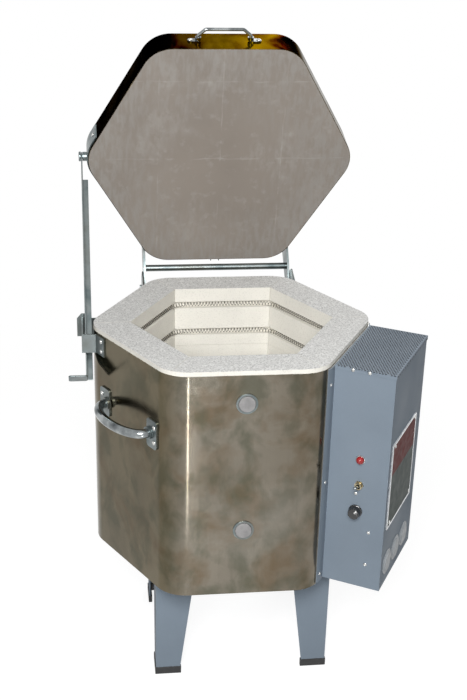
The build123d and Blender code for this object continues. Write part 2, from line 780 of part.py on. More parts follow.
# Lid handle: a wire bail on two flattened feet
bail_base = face_plane(front, lid_apothem, rim_top + lid_thickness / 2)
bail_axis = bail_foot_thickness + bail_wire / 2
with BuildPart() as lid_handle:
    bail_plane = opened(Plane(origin=bail_base.origin, x_dir=bail_base.x_dir, z_dir=-bail_base.y_dir))
    with BuildLine(bail_plane) as bail:
        FilletPolyline((-bail_half_leg, 0), (-bail_half_leg, bail_shoulder), (-bail_half_grip, bail_rise),
                       (bail_half_grip, bail_rise), (bail_half_leg, bail_shoulder), (bail_half_leg, 0),
                       radius=bail_wire)
    with BuildSketch(Plane(bail.line ^ 0)):
        Circle(bail_wire / 2)
    sweep()
    with BuildSketch(opened(bail_base)):
        foot_middle = (bail_half_foot + bail_half_leg) / 2
        with Locations((-foot_middle, 0), (foot_middle, 0)):
            SlotOverall(bail_half_foot - bail_half_leg + bail_foot_width / 2, bail_foot_width)
    extrude(amount=bail_foot_thickness)
    with BuildSketch(opened(bail_base.offset(bail_foot_thickness))):
        with Locations((-bail_half_leg, 0), (bail_half_leg, 0)):
            Circle(bail_boss / 2)
    extrude(amount=bail_boss_height)
    add(lid_screws.part, mode=Mode.SUBTRACT)
finish(lid_handle, "lid_handle")


def arm_outline_points(surface_y):
    """Side view of a hinge arm, closed, with the eye left out: band, rod and eye ends."""
    return [(surface_y, rim_top + arm_low), (surface_y, rim_top + arm_high),
            (surface_y + arm_back, rim_top + arm_high), (hinge_y + arm_eye, hinge_z),
            (hinge_y - arm_eye / 2, hinge_z - arm_eye * 0.8), (rod_y - rod_diameter, hinge_z + arm_eye)]


# Hinge arms: a side plate with a flange bent onto the band's slanted rear sides
for side, (sign, angle) in hinge_sides.items():
    mid_x, seat_y, seat_t = arm_seats[side]
    with BuildPart() as hinge_arm:
        arm_side = Plane(origin=(mid_x - arm_sheet / 2, 0, 0), x_dir=(0, 1, 0), z_dir=(1, 0, 0))
        with BuildSketch(opened(arm_side)):
            Polygon(*arm_outline_points(seat_y - arm_sheet), align=None)
            with Locations((hinge_y, hinge_z)):
                Circle(arm_eye)
                Circle(pin_diameter / 2 + pin_fit, mode=Mode.SUBTRACT)
            with Locations((rod_y, rim_top - rod_drop)):
                Circle(rod_diameter / 2, mode=Mode.SUBTRACT)
        extrude(amount=arm_sheet)
        with BuildSketch(opened(face_plane(angle, lid_apothem, rim_top + (arm_low + arm_high) / 2))):
            with Locations((seat_t - sign * (arm_flange_length / 2 - arm_sheet), 0)):
                Rectangle(arm_flange_length, arm_high - arm_low)
        extrude(amount=arm_flange_sheet)
        with BuildSketch(opened(Plane.XY.offset(rim_top))):
            add(lid_outline)
        extrude(amount=lid_thickness, mode=Mode.SUBTRACT)
        add(lid_screws.part, mode=Mode.SUBTRACT)
    finish(hinge_arm, f"hinge_arm_{side}")

with BuildPart() as hinge_rod:
    rod_plane = Plane(origin=(0, rod_y, rim_top - rod_drop), x_dir=(0, 1, 0), z_dir=(1, 0, 0))
    with BuildSketch(opened(rod_plane)):
        Circle(rod_diameter / 2)
    extrude(amount=arm_x + arm_sheet / 2 + rod_overhang, both=True)
finish(hinge_rod, "hinge_cross_rod")

# Hinge ears on the jacket, outside the arms, and their pins
for side, (sign, angle) in hinge_sides.items():
    ear_x, seat_y, seat_t = ear_seats[side]
    with BuildPart() as hinge_ear:
        with BuildSketch(Plane(origin=(ear_x - ear_sheet / 2, 0, 0), x_dir=(0, 1, 0), z_dir=(1, 0, 0))):
            Polygon((seat_y - ear_sheet, rim_top - ear_low), (seat_y - ear_sheet, rim_top - ear_high),
                    (hinge_y - arm_eye, rim_top + ear_tip), (hinge_y + arm_eye, rim_top - arm_eye),
                    (hinge_y + arm_eye, hinge_z - arm_eye / 2), (hinge_y - arm_eye, hinge_z - arm_eye),
                    align=None)
            with Locations((hinge_y, hinge_z)):
                Circle(pin_diameter / 2, mode=Mode.SUBTRACT)
        extrude(amount=ear_sheet)
        with BuildSketch(face_plane(angle, jacket_apothem, rim_top - (ear_low + ear_high) / 2)):
            with Locations((seat_t - sign * (ear_flange_length - ear_sheet) / 2, 0)):
                Rectangle(ear_flange_length, ear_low - ear_high)
        extrude(amount=ear_flange_sheet)
        with BuildSketch(Plane.XY.offset(pan_bottom)):
            add(jacket_outline)
        extrude(amount=rim_top, mode=Mode.SUBTRACT)
        add(jacket_screws.part, mode=Mode.SUBTRACT)
    finish(hinge_ear, f"hinge_ear_{side}")

with BuildPart() as hinge_pins:
    for sign in (-1, 1):
        pin_start = sign * (arm_x - arm_sheet / 2 - ear_gap)
        pin_end = sign * (ear_inner + ear_sheet)
        with BuildSketch(Plane(origin=(pin_start, hinge_y, hinge_z), x_dir=(0, 1, 0), z_dir=(1, 0, 0))):
            Circle(pin_diameter / 2)
        extrude(amount=pin_end - pin_start)
        with BuildSketch(Plane(origin=(pin_end, hinge_y, hinge_z), x_dir=(0, 1, 0), z_dir=(1, 0, 0))):
            RegularPolygon(pin_head / 2, 6)
        extrude(amount=sign * pin_head_height)
finish(hinge_pins, "hinge_pins")

# Lid prop: strap on the lid's left corner, pin, angle bar and the guide on the jacket's left corner
closed_pivot = Location((0, prop_pivot_y, rim_top + prop_pivot_rise))
open_pivot = (hinge_turn * closed_pivot).position
guide_y = guide_point_y
guide_z = rim_top - guide_point_drop
prop_lean = degrees(atan2(open_pivot.Y - guide_y, open_pivot.Z - guide_z))
prop_reach = hypot(open_pivot.Y - guide_y, open_pivot.Z - guide_z)
prop_length = prop_reach + prop_below_guide
prop_frame = Plane(origin=(0, open_pivot.Y, open_pivot.Z), x_dir=(1, 0, 0),
                   z_dir=(0, sin(radians(prop_lean)), cos(radians(prop_lean))))
prop_side = Plane(origin=prop_frame.origin + Vector(-prop_outside, 0, 0), x_dir=prop_frame.y_dir,
                  z_dir=(1, 0, 0))
corner_reach = lid_apothem / cos(radians(30)) - (jacket_corner + lid_growth) * (1 / cos(radians(30)) - 1)
boss_start = corner_reach + prop_strap_sheet / 2
pivot_plane = Plane(origin=(0, prop_pivot_y, rim_top + prop_pivot_rise), x_dir=(0, 1, 0), z_dir=(-1, 0, 0))

with BuildPart() as prop_strap:
    with BuildSketch(opened(Plane.XY.offset(rim_top + prop_strap_low))):
        add(strap_outline)
        add(lid_outline, mode=Mode.SUBTRACT)
        Polygon(*wedge(180 - prop_strap_angle, 180 + prop_strap_angle), align=None, mode=Mode.INTERSECT)
    extrude(amount=prop_strap_high - prop_strap_low)
    with BuildSketch(opened(pivot_plane.offset(boss_start))):
        Circle(prop_boss_diameter / 2)
        Circle(prop_pin_diameter / 2, mode=Mode.SUBTRACT)
    extrude(amount=prop_outside - prop_sheet - pin_fit - boss_start)
    add(lid_screws.part, mode=Mode.SUBTRACT)
finish(prop_strap, "prop_strap")

with BuildPart() as prop_pin:
    with BuildSketch(opened(pivot_plane.offset(boss_start + prop_strap_sheet / 2))):
        Circle(prop_pin_diameter / 2)
    extrude(amount=prop_outside + pin_fit - boss_start - prop_strap_sheet / 2)
    with BuildSketch(opened(pivot_plane.offset(prop_outside + pin_fit))):
        Circle(prop_pin_head / 2)
    extrude(amount=prop_pin_head_height)
    chamfer(prop_pin.faces().sort_by(Axis.X)[0].edges(), length=1)
finish(prop_pin, "prop_pin")

with BuildPart() as prop_bar:
    with BuildSketch(prop_side):
        with Locations((0, -prop_length / 2)):
            Rectangle(prop_depth, prop_length)
        Circle(prop_depth / 2)
        Circle(prop_pin_diameter / 2 + pin_fit, mode=Mode.SUBTRACT)
    extrude(amount=prop_sheet)
    with BuildSketch(prop_frame.offset(-prop_length)):
        with Locations((-prop_outside + prop_width / 2, prop_depth / 2 - prop_sheet / 2)):
            Rectangle(prop_width, prop_sheet)
    extrude(amount=prop_length - prop_web_start)
    with BuildSketch(prop_frame.offset(-prop_length)):
        with Locations((-prop_outside - prop_tab_length / 2 + prop_sheet / 2, 0)):
            RectangleRounded(prop_tab_length + prop_sheet, prop_tab_depth, prop_tab_depth / 6)
    extrude(amount=prop_sheet)
finish(prop_bar, "prop_bar")

with BuildPart() as prop_guide:
    with BuildSketch(Plane.XY.offset(rim_top - guide_top - guide_height)):
        with Locations((-guide_outside / 2, (guide_rear - guide_front) / 2)):
            Rectangle(guide_outside, guide_rear + guide_front)
        with Locations((-(guide_outside - guide_sheet) / 2, (guide_rear - guide_front) / 2)):
            Rectangle(guide_outside - guide_sheet, guide_rear + guide_front - 2 * guide_sheet,
                      mode=Mode.SUBTRACT)
        add(jacket_outline, mode=Mode.SUBTRACT)
    extrude(amount=guide_height)
    for angle, seat_t, sign in guide_seats:
        with BuildSketch(face_plane(angle, jacket_apothem, rim_top - guide_top - guide_height / 2)):
            with Locations((seat_t + sign * (guide_flange - guide_sheet) / 2, 0)):
                Rectangle(guide_flange, guide_height)
        extrude(amount=guide_sheet)
    wing_outside = -guide_outside - guide_wing
    wing_low = rim_top - guide_top - guide_height
    wing_high = rim_top - guide_top
    with BuildSketch(Plane(origin=(0, guide_rear, 0), x_dir=(1, 0, 0), z_dir=(0, -1, 0))):
        Polygon((wing_outside, wing_low), (wing_outside + guide_wing_width, wing_low),
                (wing_outside + guide_wing_width, wing_high + guide_wing_rise),
                (wing_outside + guide_wing, wing_high + guide_wing_rise), (wing_outside, wing_high),
                align=None)
    extrude(amount=guide_sheet)
    add(jacket_screws.part, mode=Mode.SUBTRACT)
finish(prop_guide, "prop_guide")


def panel_point(place):
    """Plane on the control box's front side at a control's place."""
    return slide_along(panel, jacket_apothem + place[0], box_bottom + place[1])


def box_plan(height):
    """Level plane over the control box: x is the distance from the kiln's axis, y runs to the back."""
    turn = radians(front_right)
    return Plane(origin=(0, 0, height), x_dir=(cos(turn), sin(turn), 0), z_dir=(0, 0, 1))


def box_point(n, t, drop):
    """Point in the control box from its distance, its place along the face and its depth."""
    plan = box_plan(rim_top - drop)
    return plan.origin + plan.x_dir * n + plan.y_dir * t


# Control box: back plate on the jacket, folded cover and perforated top
box_middle_t = (box_front_t + box_rear_t) / 2
box_width = box_rear_t - box_front_t
box_height = jacket_top - box_bottom
cover_height = box_height - grille_sheet
flange_wedge = wedge(front_right - box_front_turn, front_right + box_rear_turn)
with BuildPart() as box_back_plate:
    with BuildSketch(Plane.XY.offset(box_bottom)):
        add(chassis_outline)
        add(jacket_outline, mode=Mode.SUBTRACT)
        Polygon(*flange_wedge, align=None, mode=Mode.INTERSECT)
    extrude(amount=cover_height)
    for plane, offset in terminal_planes(brick_apothem):
        with BuildSketch(plane):
            with Locations((offset, 0)):
                Circle(bush_diameter / 2)
        extrude(amount=jacket_sheet + box_sheet, mode=Mode.SUBTRACT)
    add(box_screws.part, mode=Mode.SUBTRACT)
finish(box_back_plate, "box_back_plate")

plug_places = [(step * plug_spacing, -plug_drop) for step in (-1, 0, 1)]
with BuildPart() as box_cover:
    with BuildSketch(box_plan(box_bottom)):
        with Locations((box_front_n / 2, box_middle_t)):
            Rectangle(box_front_n, box_width)
    extrude(amount=cover_height)
    with BuildSketch(box_plan(box_bottom + box_sheet)):
        with Locations(((box_front_n - box_sheet) / 2, box_middle_t)):
            Rectangle(box_front_n - box_sheet, box_width - 2 * box_sheet)
    extrude(amount=cover_height, mode=Mode.SUBTRACT)
    with BuildSketch(Plane.XY.offset(box_bottom)):
        add(chassis_outline)
    extrude(amount=cover_height, mode=Mode.SUBTRACT)
    with BuildSketch(Plane.XY.offset(box_bottom)):
        add(cover_flange_outline)
        add(chassis_outline, mode=Mode.SUBTRACT)
        Polygon(*flange_wedge, align=None, mode=Mode.INTERSECT)
        with Locations(box_plan(0).origin + box_plan(0).y_dir * box_middle_t):
            Rectangle(3 * box_front_n, box_width - 2 * box_sheet, rotation=front_right, mode=Mode.SUBTRACT)
    extrude(amount=cover_height)
    with BuildSketch(panel_point(lamp_place)):
        Circle(lamp_radius)
    extrude(amount=-box_sheet, mode=Mode.SUBTRACT)
    with BuildSketch(panel_point(toggle_place)):
        Circle(toggle_bush_radius)
    extrude(amount=-box_sheet, mode=Mode.SUBTRACT)
    with BuildSketch(panel_point(knob_place)):
        Circle(switch_bush_radius)
    extrude(amount=-box_sheet, mode=Mode.SUBTRACT)
    with BuildSketch(box_face):
        with Locations(*plug_places):
            Circle(plug_skirt_radius)
    extrude(amount=-box_sheet, mode=Mode.SUBTRACT)
    with BuildSketch(box_plan(box_bottom)):
        with Locations((gland_n, gland_t)):
            Circle(gland_radius)
    extrude(amount=box_sheet, mode=Mode.SUBTRACT)
    add(box_screws.part, mode=Mode.SUBTRACT)
finish(box_cover, "box_cover")

with BuildPart() as box_top_grille:
    with BuildSketch(box_plan(jacket_top - grille_sheet - grille_lip)):
        with Locations(((box_front_n + grille_sheet) / 2, box_middle_t)):
            Rectangle(box_front_n + grille_sheet, box_width + 2 * grille_sheet)
        with Locations((box_front_n / 2, box_middle_t)):
            Rectangle(box_front_n, box_width, mode=Mode.SUBTRACT)
    extrude(amount=grille_lip)
    with BuildSketch(box_plan(jacket_top - grille_sheet)):
        with Locations(((box_front_n + grille_sheet) / 2, box_middle_t)):
            Rectangle(box_front_n + grille_sheet, box_width + 2 * grille_sheet)
    extrude(amount=grille_sheet)
    with BuildSketch(Plane.XY.offset(box_bottom)):
        add(cover_flange_outline)
    extrude(amount=box_height, mode=Mode.SUBTRACT)
    add(box_screws.part, mode=Mode.SUBTRACT)
finish(box_top_grille, "box_top_grille")

# Controls on the box's front side
lamp_plane = panel_point(lamp_place)
with BuildPart() as pilot_lamp:
    with BuildSketch(lamp_plane):
        Circle(lamp_radius)
    extrude(amount=-lamp_body_length)
    with BuildSketch(lamp_plane):
        Circle(lamp_bezel_radius)
    extrude(amount=lamp_bezel_height)
    with BuildSketch(lamp_plane.offset(lamp_bezel_height)):
        Circle(lamp_radius)
    extrude(amount=lamp_dome)
    fillet(pilot_lamp.faces().sort_by(Axis(lamp_plane.origin, lamp_plane.z_dir))[-1].edges(),
           radius=lamp_dome * 0.85)
finish(pilot_lamp, "pilot_lamp")

toggle_plane = panel_point(toggle_place)
with BuildPart() as toggle_switch:
    with BuildSketch(toggle_plane.offset(-box_sheet)):
        Rectangle(toggle_body[0], toggle_body[1])
    extrude(amount=-toggle_body[2])
    with BuildSketch(toggle_plane.offset(-box_sheet)):
        Circle(toggle_bush_radius)
    extrude(amount=box_sheet + toggle_bush_height)
    with BuildSketch(toggle_plane):
        RegularPolygon(toggle_nut_radius, 6)
    extrude(amount=toggle_nut_height)
    with BuildSketch(toggle_plane.offset(toggle_bush_height)):
        Circle(toggle_bore)
    extrude(amount=-toggle_bush_height - toggle_bore, mode=Mode.SUBTRACT)
finish(toggle_switch, "toggle_switch")

toggle_pivot = toggle_plane.offset(toggle_bush_height / 2)
lever_plane = Plane(toggle_pivot.location * Rot(X=-toggle_lean))
with BuildPart() as toggle_lever:
    with Locations(toggle_pivot.location):
        Sphere(toggle_bore - lever_clearance)
    with BuildSketch(Plane(origin=toggle_pivot.origin, x_dir=toggle_pivot.z_dir, z_dir=toggle_pivot.x_dir)):
        Circle(toggle_pin_radius)
    extrude(amount=toggle_pin_reach, both=True)
    with BuildSketch(lever_plane):
        Circle(toggle_lever_root)
    with BuildSketch(lever_plane.offset(toggle_lever_length)):
        Circle(toggle_lever_tip)
    loft()
    with Locations(lever_plane.offset(toggle_lever_length).location):
        Sphere(toggle_lever_tip)
finish(toggle_lever, "toggle_lever")

knob_plane = panel_point(knob_place)
with BuildPart() as rotary_switch:
    with BuildSketch(knob_plane.offset(-box_sheet)):
        RectangleRounded(switch_body[0], switch_body[1], switch_bush_radius)
    extrude(amount=-switch_body[2])
    with BuildSketch(knob_plane.offset(-box_sheet)):
        Circle(switch_bush_radius)
    extrude(amount=box_sheet + switch_bush_height)
    with BuildSketch(knob_plane):
        RegularPolygon(switch_nut_radius, 6)
    extrude(amount=switch_nut_height)
    with BuildSketch(knob_plane.offset(switch_bush_height)):
        Circle(switch_shaft_radius + shaft_clearance)
    extrude(amount=-switch_bush_height - switch_body[2] / 2, mode=Mode.SUBTRACT)
finish(rotary_switch, "rotary_switch")

shaft_end = knob_gap + knob_height - knob_skirt_height
with BuildPart() as switch_shaft:
    with BuildSketch(knob_plane.offset(shaft_end)):
        Circle(switch_shaft_radius)
    extrude(amount=-shaft_end - switch_body[2] / 2 + shaft_clearance)
finish(switch_shaft, "switch_shaft")

with BuildPart() as knob:
    with BuildSketch(knob_plane.offset(knob_gap)):
        Circle(knob_skirt_radius)
    extrude(amount=knob_skirt_height)
    with BuildSketch(knob_plane.offset(knob_gap + knob_skirt_height)):
        Circle(knob_radius)
    extrude(amount=knob_height - knob_skirt_height, taper=3)
    with BuildSketch(knob_plane.offset(knob_gap + knob_height)):
        with Locations(Rotation(0, 0, knob_pointer_turn)):
            with Locations((0, knob_radius - knob_pointer_length / 2 - 1)):
                Rectangle(knob_pointer_width, knob_pointer_length)
    extrude(amount=knob_pointer_height)
    with BuildSketch(knob_plane):
        Circle(switch_nut_radius + knob_gap)
    extrude(amount=switch_bush_height + knob_gap, mode=Mode.SUBTRACT)
    with BuildSketch(knob_plane):
        Circle(switch_shaft_radius)
    extrude(amount=shaft_end, mode=Mode.SUBTRACT)
finish(knob, "knob")

# Rating plate and the blanking plugs on the box's outer side
with BuildPart() as rating_plate:
    with BuildSketch(slide_along(box_face, plate_t, -plate_drop)):
        Rectangle(plate_width, plate_height)
    extrude(amount=plate_sheet)
    with BuildSketch(slide_along(box_face.offset(plate_sheet), plate_t, -plate_drop)):
        Rectangle(plate_width, plate_height)
        Rectangle(plate_width - 2 * plate_rim, plate_height - 2 * plate_rim, mode=Mode.SUBTRACT)
    extrude(amount=plate_rim_height)
    add(box_screws.part, mode=Mode.SUBTRACT)
finish(rating_plate, "rating_plate")

with BuildPart() as hole_plugs:
    with BuildSketch(box_face):
        with Locations(*plug_places):
            Circle(plug_radius)
    extrude(amount=plug_flange)
    with BuildSketch(box_face.offset(plug_flange)):
        with Locations(*plug_places):
            Circle(plug_skirt_radius)
    extrude(amount=plug_dome, taper=45)
    with BuildSketch(box_face):
        with Locations(*plug_places):
            Circle(plug_skirt_radius)
            Circle(plug_skirt_radius - box_sheet, mode=Mode.SUBTRACT)
    extrude(amount=-plug_skirt_length)
finish(hole_plugs, "hole_plugs")

# Inside the box: terminal block, relay, cord gland and wiring
block_center = (jacket_apothem + (block_screw_places[0][0] + block_screw_places[1][0]) / 2,
                box_bottom + (block_screw_places[0][1] + block_screw_places[1][1]) / 2)
block_base = slide_along(panel.offset(-box_sheet), block_center[0], block_center[1])
block_pitch = (block_size[1] - 2 * block_margin) / (block_way_count - 1)
with BuildPart() as terminal_block:
    with BuildSketch(block_base):
        Rectangle(block_size[0], block_size[1])
    extrude(amount=-block_size[2])
    with BuildSketch(block_base.offset(-block_size[2])):
        with GridLocations(1, block_pitch, 1, block_way_count):
            Rectangle(block_size[0] * 0.55, block_pitch * 0.6)
    extrude(amount=block_size[2] / 4, mode=Mode.SUBTRACT)
    add(box_screws.part, mode=Mode.SUBTRACT)
finish(terminal_block, "terminal_block")

relay_face = slide_along(face_plane(front_right, jacket_apothem + box_sheet, rim_top), relay_t, -relay_drop)
with BuildPart() as relay:
    with BuildSketch(relay_face):
        Rectangle(relay_size[0], relay_size[1])
    extrude(amount=relay_size[2])
    with BuildSketch(relay_face.offset(relay_size[2])):
        with GridLocations(relay_size[0] / 2, relay_size[1] * 0.7, 2, 2):
            Circle(relay_post_radius)
    extrude(amount=relay_post_height)
finish(relay, "relay")

with BuildPart() as cord_gland:
    with BuildSketch(box_plan(box_bottom + box_sheet + gland_nut_height)):
        with Locations((gland_n, gland_t)):
            Circle(gland_radius)
    extrude(amount=-gland_drop - box_sheet - gland_nut_height)
    for start in (box_bottom + box_sheet, box_bottom - gland_nut_height):
        with BuildSketch(box_plan(start)):
            with Locations((gland_n, gland_t)):
                RegularPolygon(gland_nut_radius, 6)
        extrude(amount=gland_nut_height)
    with BuildSketch(box_plan(box_bottom - gland_drop)):
        with Locations((gland_n, gland_t)):
            Circle(gland_nut_radius - 1)
    extrude(amount=gland_drop / 2)
    with BuildSketch(box_plan(box_bottom - gland_drop)):
        with Locations((gland_n, gland_t)):
            Circle(gland_bore)
    extrude(amount=2 * gland_drop, mode=Mode.SUBTRACT)
finish(cord_gland, "cord_gland")

gland_top_drop = rim_top - box_bottom - box_sheet - gland_nut_height
block_face_t = box_front_t + box_sheet + block_size[2] * 0.75
block_drop = rim_top - block_center[1]
stud_n = jacket_apothem + bush_reach + stud_nut_length + wire_radius
stud_side = terminal_spacing / 2 + stud_diameter / 2 + wire_radius
post_n = jacket_apothem + box_sheet + relay_size[2] + relay_post_height + wire_radius
wire_routes = []
for step in range(3):
    way_drop = block_drop + (step - 1) * block_pitch * 0.99
    spread = (step - 1) * 2.1 * wire_radius
    wire_routes.append([
        (gland_n + spread, gland_t, gland_top_drop), (gland_n + spread, gland_t, gland_top_drop - 18),
        (block_center[0], gland_t * 0.2 + spread, way_drop), (block_center[0], block_face_t, way_drop)])
post_t = relay_t - relay_size[0] / 4
for sign in (-1, 1):
    way_drop = block_drop + sign * 2 * block_pitch
    post_drop = relay_drop + sign * relay_size[1] * 0.35
    wire_routes.append([
        (block_center[0], block_face_t, way_drop), (block_center[0], block_face_t + 26, way_drop),
        (post_n, post_t - 16, post_drop), (post_n, post_t + relay_post_radius, post_drop)])
post_t = relay_t + relay_size[0] / 4
post_drop = relay_drop - relay_size[1] * 0.35
wire_routes.append([
    (post_n, post_t, post_drop), (post_n, post_t, post_drop - 24),
    (stud_n + 12, stud_side + 24, groove_drops[0] + 14), (stud_n, stud_side + 12, groove_drops[0]),
    (stud_n, stud_side - wire_radius, groove_drops[0])])
post_drop = relay_drop + relay_size[1] * 0.35
wire_routes.append([
    (post_n, post_t, post_drop), (post_n, post_t, post_drop + 24),
    (stud_n, stud_side, post_drop + 24), (stud_n, stud_side, groove_drops[-1])])
with BuildPart() as wiring:
    for route in wire_routes:
        with BuildLine() as wire:
            FilletPolyline(*[box_point(*corner) for corner in route], radius=4)
        with BuildSketch(Plane(wire.line ^ 0)):
            Circle(wire_radius)
        sweep()
    for step in range(len(groove_drops) - 1):
        side_t = stud_side if step % 2 else -stud_side
        with BuildLine() as wire:
            Line(box_point(stud_n, side_t, groove_drops[step]),
                 box_point(stud_n, side_t, groove_drops[step + 1]))
        with BuildSketch(Plane(wire.line ^ 0)):
            Circle(wire_radius)
        sweep()
finish(wiring, "wiring")

# Origin at the middle of the footprint, on the floor
box_of_all = Compound(children=[copy(piece) for piece in pieces]).bounding_box()
shift = Pos(-box_of_all.center().X, -box_of_all.center().Y, -box_of_all.min.Z)
os.makedirs("parts", exist_ok=True)
for piece in pieces:
    placed = shift * piece
    placed.label = piece.label
    export_step(placed, f"parts/{piece.label}.step")
print("origin moved by", shift.position, "pieces", len(pieces))
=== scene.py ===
"""Test kiln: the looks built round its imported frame, laid out as a Blender add-on."""

import json
from math import cos, pi, radians, sin

import bmesh
import bpy
from bpy.props import FloatProperty, FloatVectorProperty, IntProperty, PointerProperty
from mathutils import Matrix, Vector

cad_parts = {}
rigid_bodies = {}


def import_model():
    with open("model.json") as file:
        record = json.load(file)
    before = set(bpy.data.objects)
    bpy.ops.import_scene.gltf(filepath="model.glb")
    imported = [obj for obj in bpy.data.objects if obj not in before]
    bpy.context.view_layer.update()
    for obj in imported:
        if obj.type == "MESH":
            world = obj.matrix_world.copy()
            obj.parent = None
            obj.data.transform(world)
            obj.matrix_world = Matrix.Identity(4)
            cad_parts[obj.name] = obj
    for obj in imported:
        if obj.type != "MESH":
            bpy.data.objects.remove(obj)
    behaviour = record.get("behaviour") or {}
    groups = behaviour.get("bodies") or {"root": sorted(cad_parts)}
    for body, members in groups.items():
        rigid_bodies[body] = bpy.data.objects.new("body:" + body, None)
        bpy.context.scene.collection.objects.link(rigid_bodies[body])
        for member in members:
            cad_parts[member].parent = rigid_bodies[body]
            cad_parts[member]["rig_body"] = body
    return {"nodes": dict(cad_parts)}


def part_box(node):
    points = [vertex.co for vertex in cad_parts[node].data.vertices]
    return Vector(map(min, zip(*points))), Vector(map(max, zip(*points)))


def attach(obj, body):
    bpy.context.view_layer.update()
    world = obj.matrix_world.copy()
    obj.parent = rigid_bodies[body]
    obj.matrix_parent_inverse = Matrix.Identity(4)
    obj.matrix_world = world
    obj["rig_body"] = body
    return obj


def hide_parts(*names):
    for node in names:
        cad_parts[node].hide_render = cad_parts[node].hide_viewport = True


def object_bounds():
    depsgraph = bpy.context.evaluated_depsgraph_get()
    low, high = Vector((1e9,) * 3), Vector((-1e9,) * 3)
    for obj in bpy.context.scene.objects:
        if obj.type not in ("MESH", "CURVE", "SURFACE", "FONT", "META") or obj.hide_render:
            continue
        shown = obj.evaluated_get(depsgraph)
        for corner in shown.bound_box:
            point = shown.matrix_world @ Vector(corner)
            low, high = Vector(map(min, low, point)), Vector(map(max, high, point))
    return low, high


bl_info = {
    "name": "Test Kiln",
    "version": (1, 0, 0),
    "blender": (4, 5, 0),
    "location": "View3D > Sidebar > Kiln",
    "description": "Builds the finishes and fine pieces of a hexagonal test kiln round its frame",
    "category": "Object",
}

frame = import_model()
cad_low, cad_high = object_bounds()
MM = 0.001
slab_low, slab_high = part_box("floor_slab")
AXIS = Vector(((slab_low.x + slab_high.x) / 2, (slab_low.y + slab_high.y) / 2, 0))
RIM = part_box("brick_row_top")[1].z
JACKET_APOTHEM = (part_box("jacket")[1].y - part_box("jacket")[0].y) / 2
BOX_ANGLE = radians(-30)
OUT = Vector((cos(BOX_ANGLE), sin(BOX_ANGLE), 0))
ALONG = Vector((-sin(BOX_ANGLE), cos(BOX_ANGLE), 0))
UP = Vector((0, 0, 1))
made = {}


# Small helpers for meshes and nodes

def span(node, direction):
    """Lowest and highest place of a CAD node along a direction, measured from the kiln's axis."""
    places = [(v.co - AXIS).dot(direction) for v in frame["nodes"][node].data.vertices]
    return min(places), max(places)


def body_of(node):
    """The moving body that a CAD node belongs to."""
    return frame["nodes"][node]["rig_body"]


def add_object(name, mesh, *finishes):
    """A new object in the scene with its mesh and its finishes."""
    piece = bpy.data.objects.new(name, mesh)
    bpy.context.scene.collection.objects.link(piece)
    for finish_name in finishes:
        mesh.materials.append(finish(finish_name))
    return piece


def as_mesh(name, bm):
    """A mesh from a bmesh, which is freed."""
    mesh = bpy.data.meshes.new(name)
    bm.to_mesh(mesh)
    bm.free()
    return mesh


def from_bmesh(name, bm, *finishes, smooth=True):
    """A new object from a bmesh, which is freed."""
    bmesh.ops.recalc_face_normals(bm, faces=bm.faces)
    mesh = as_mesh(name, bm)
    for polygon in mesh.polygons:
        polygon.use_smooth = smooth
    return add_object(name, mesh, *finishes)


def welded(node):
    """A CAD node's mesh as a bmesh with its doubled corners merged."""
    bm = bmesh.new()
    bm.from_mesh(frame["nodes"][node].data)
    bmesh.ops.remove_doubles(bm, verts=bm.verts, dist=2e-6)
    return bm


def stand_for(piece, *nodes):
    """Lets a new piece ride with the first CAD node's body and stand for the nodes."""
    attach(piece, body_of(nodes[0]))
    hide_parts(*nodes)
    return piece


def finish_node(node, finish_name):
    """Gives a carried-over CAD node its finish."""
    mesh = frame["nodes"][node].data
    mesh.materials.clear()
    mesh.materials.append(finish(finish_name))


def softened(node, width, finish_name, segments=2, angle=35):
    """A copy of a CAD node with its sharp edges rounded, standing for the node."""
    bm = welded(node)
    bmesh.ops.dissolve_limit(bm, angle_limit=radians(0.5), verts=bm.verts, edges=bm.edges)
    mesh = as_mesh(node + "_edge", bm)
    mesh.shade_smooth()
    piece = add_object(node + "_edge", mesh, finish_name)
    bevel = piece.modifiers.new("edge", "BEVEL")
    bevel.width = width
    bevel.segments = segments
    bevel.limit_method = "ANGLE"
    bevel.angle_limit = radians(angle)
    bevel.miter_outer = "MITER_ARC"
    flats = piece.modifiers.new("flats", "WEIGHTED_NORMAL")
    flats.weight = 100
    flats.keep_sharp = True
    return stand_for(piece, node)


def mark_sharp(piece, angle):
    """Smooth shading that breaks at sharp edges."""
    bm = bmesh.new()
    bm.from_mesh(piece.data)
    for edge in bm.edges:
        edge.smooth = len(edge.link_faces) == 2 and edge.calc_face_angle(0) < radians(angle)
    bm.to_mesh(piece.data)
    bm.free()


def plane_at(origin, z_dir, x_dir=None):
    """A matrix whose Z points along a direction."""
    z_axis = z_dir.normalized()
    x_axis = (x_dir or UP.cross(z_axis)).normalized()
    y_axis = z_axis.cross(x_axis)
    matrix = Matrix((x_axis, y_axis, z_axis)).transposed().to_4x4()
    matrix.translation = origin
    return matrix


def lathe(bm, profile, matrix, steps=32, material=0, flutes=0):
    """Turns a profile of (radius, height, flute depth) points round Z; a radius of 0 closes the end."""
    rings = []
    for radius, height, *depth in profile:
        ring = []
        for i in range(steps if radius else 1):
            turn = 2 * pi * i / steps
            own = radius - sum(depth) * (0.5 + 0.5 * cos(turn * flutes))
            ring.append(bm.verts.new(matrix @ Vector((own * cos(turn), own * sin(turn), height))))
        rings.append(ring)
    for low, high in zip(rings, rings[1:]):
        for i in range(steps):
            j = (i + 1) % steps
            around = (low[i % len(low)], low[j % len(low)], high[j % len(high)], high[i % len(high)])
            corners = tuple(dict.fromkeys(around))
            if len(corners) > 2:
                bm.faces.new(corners).material_index = material
    return rings


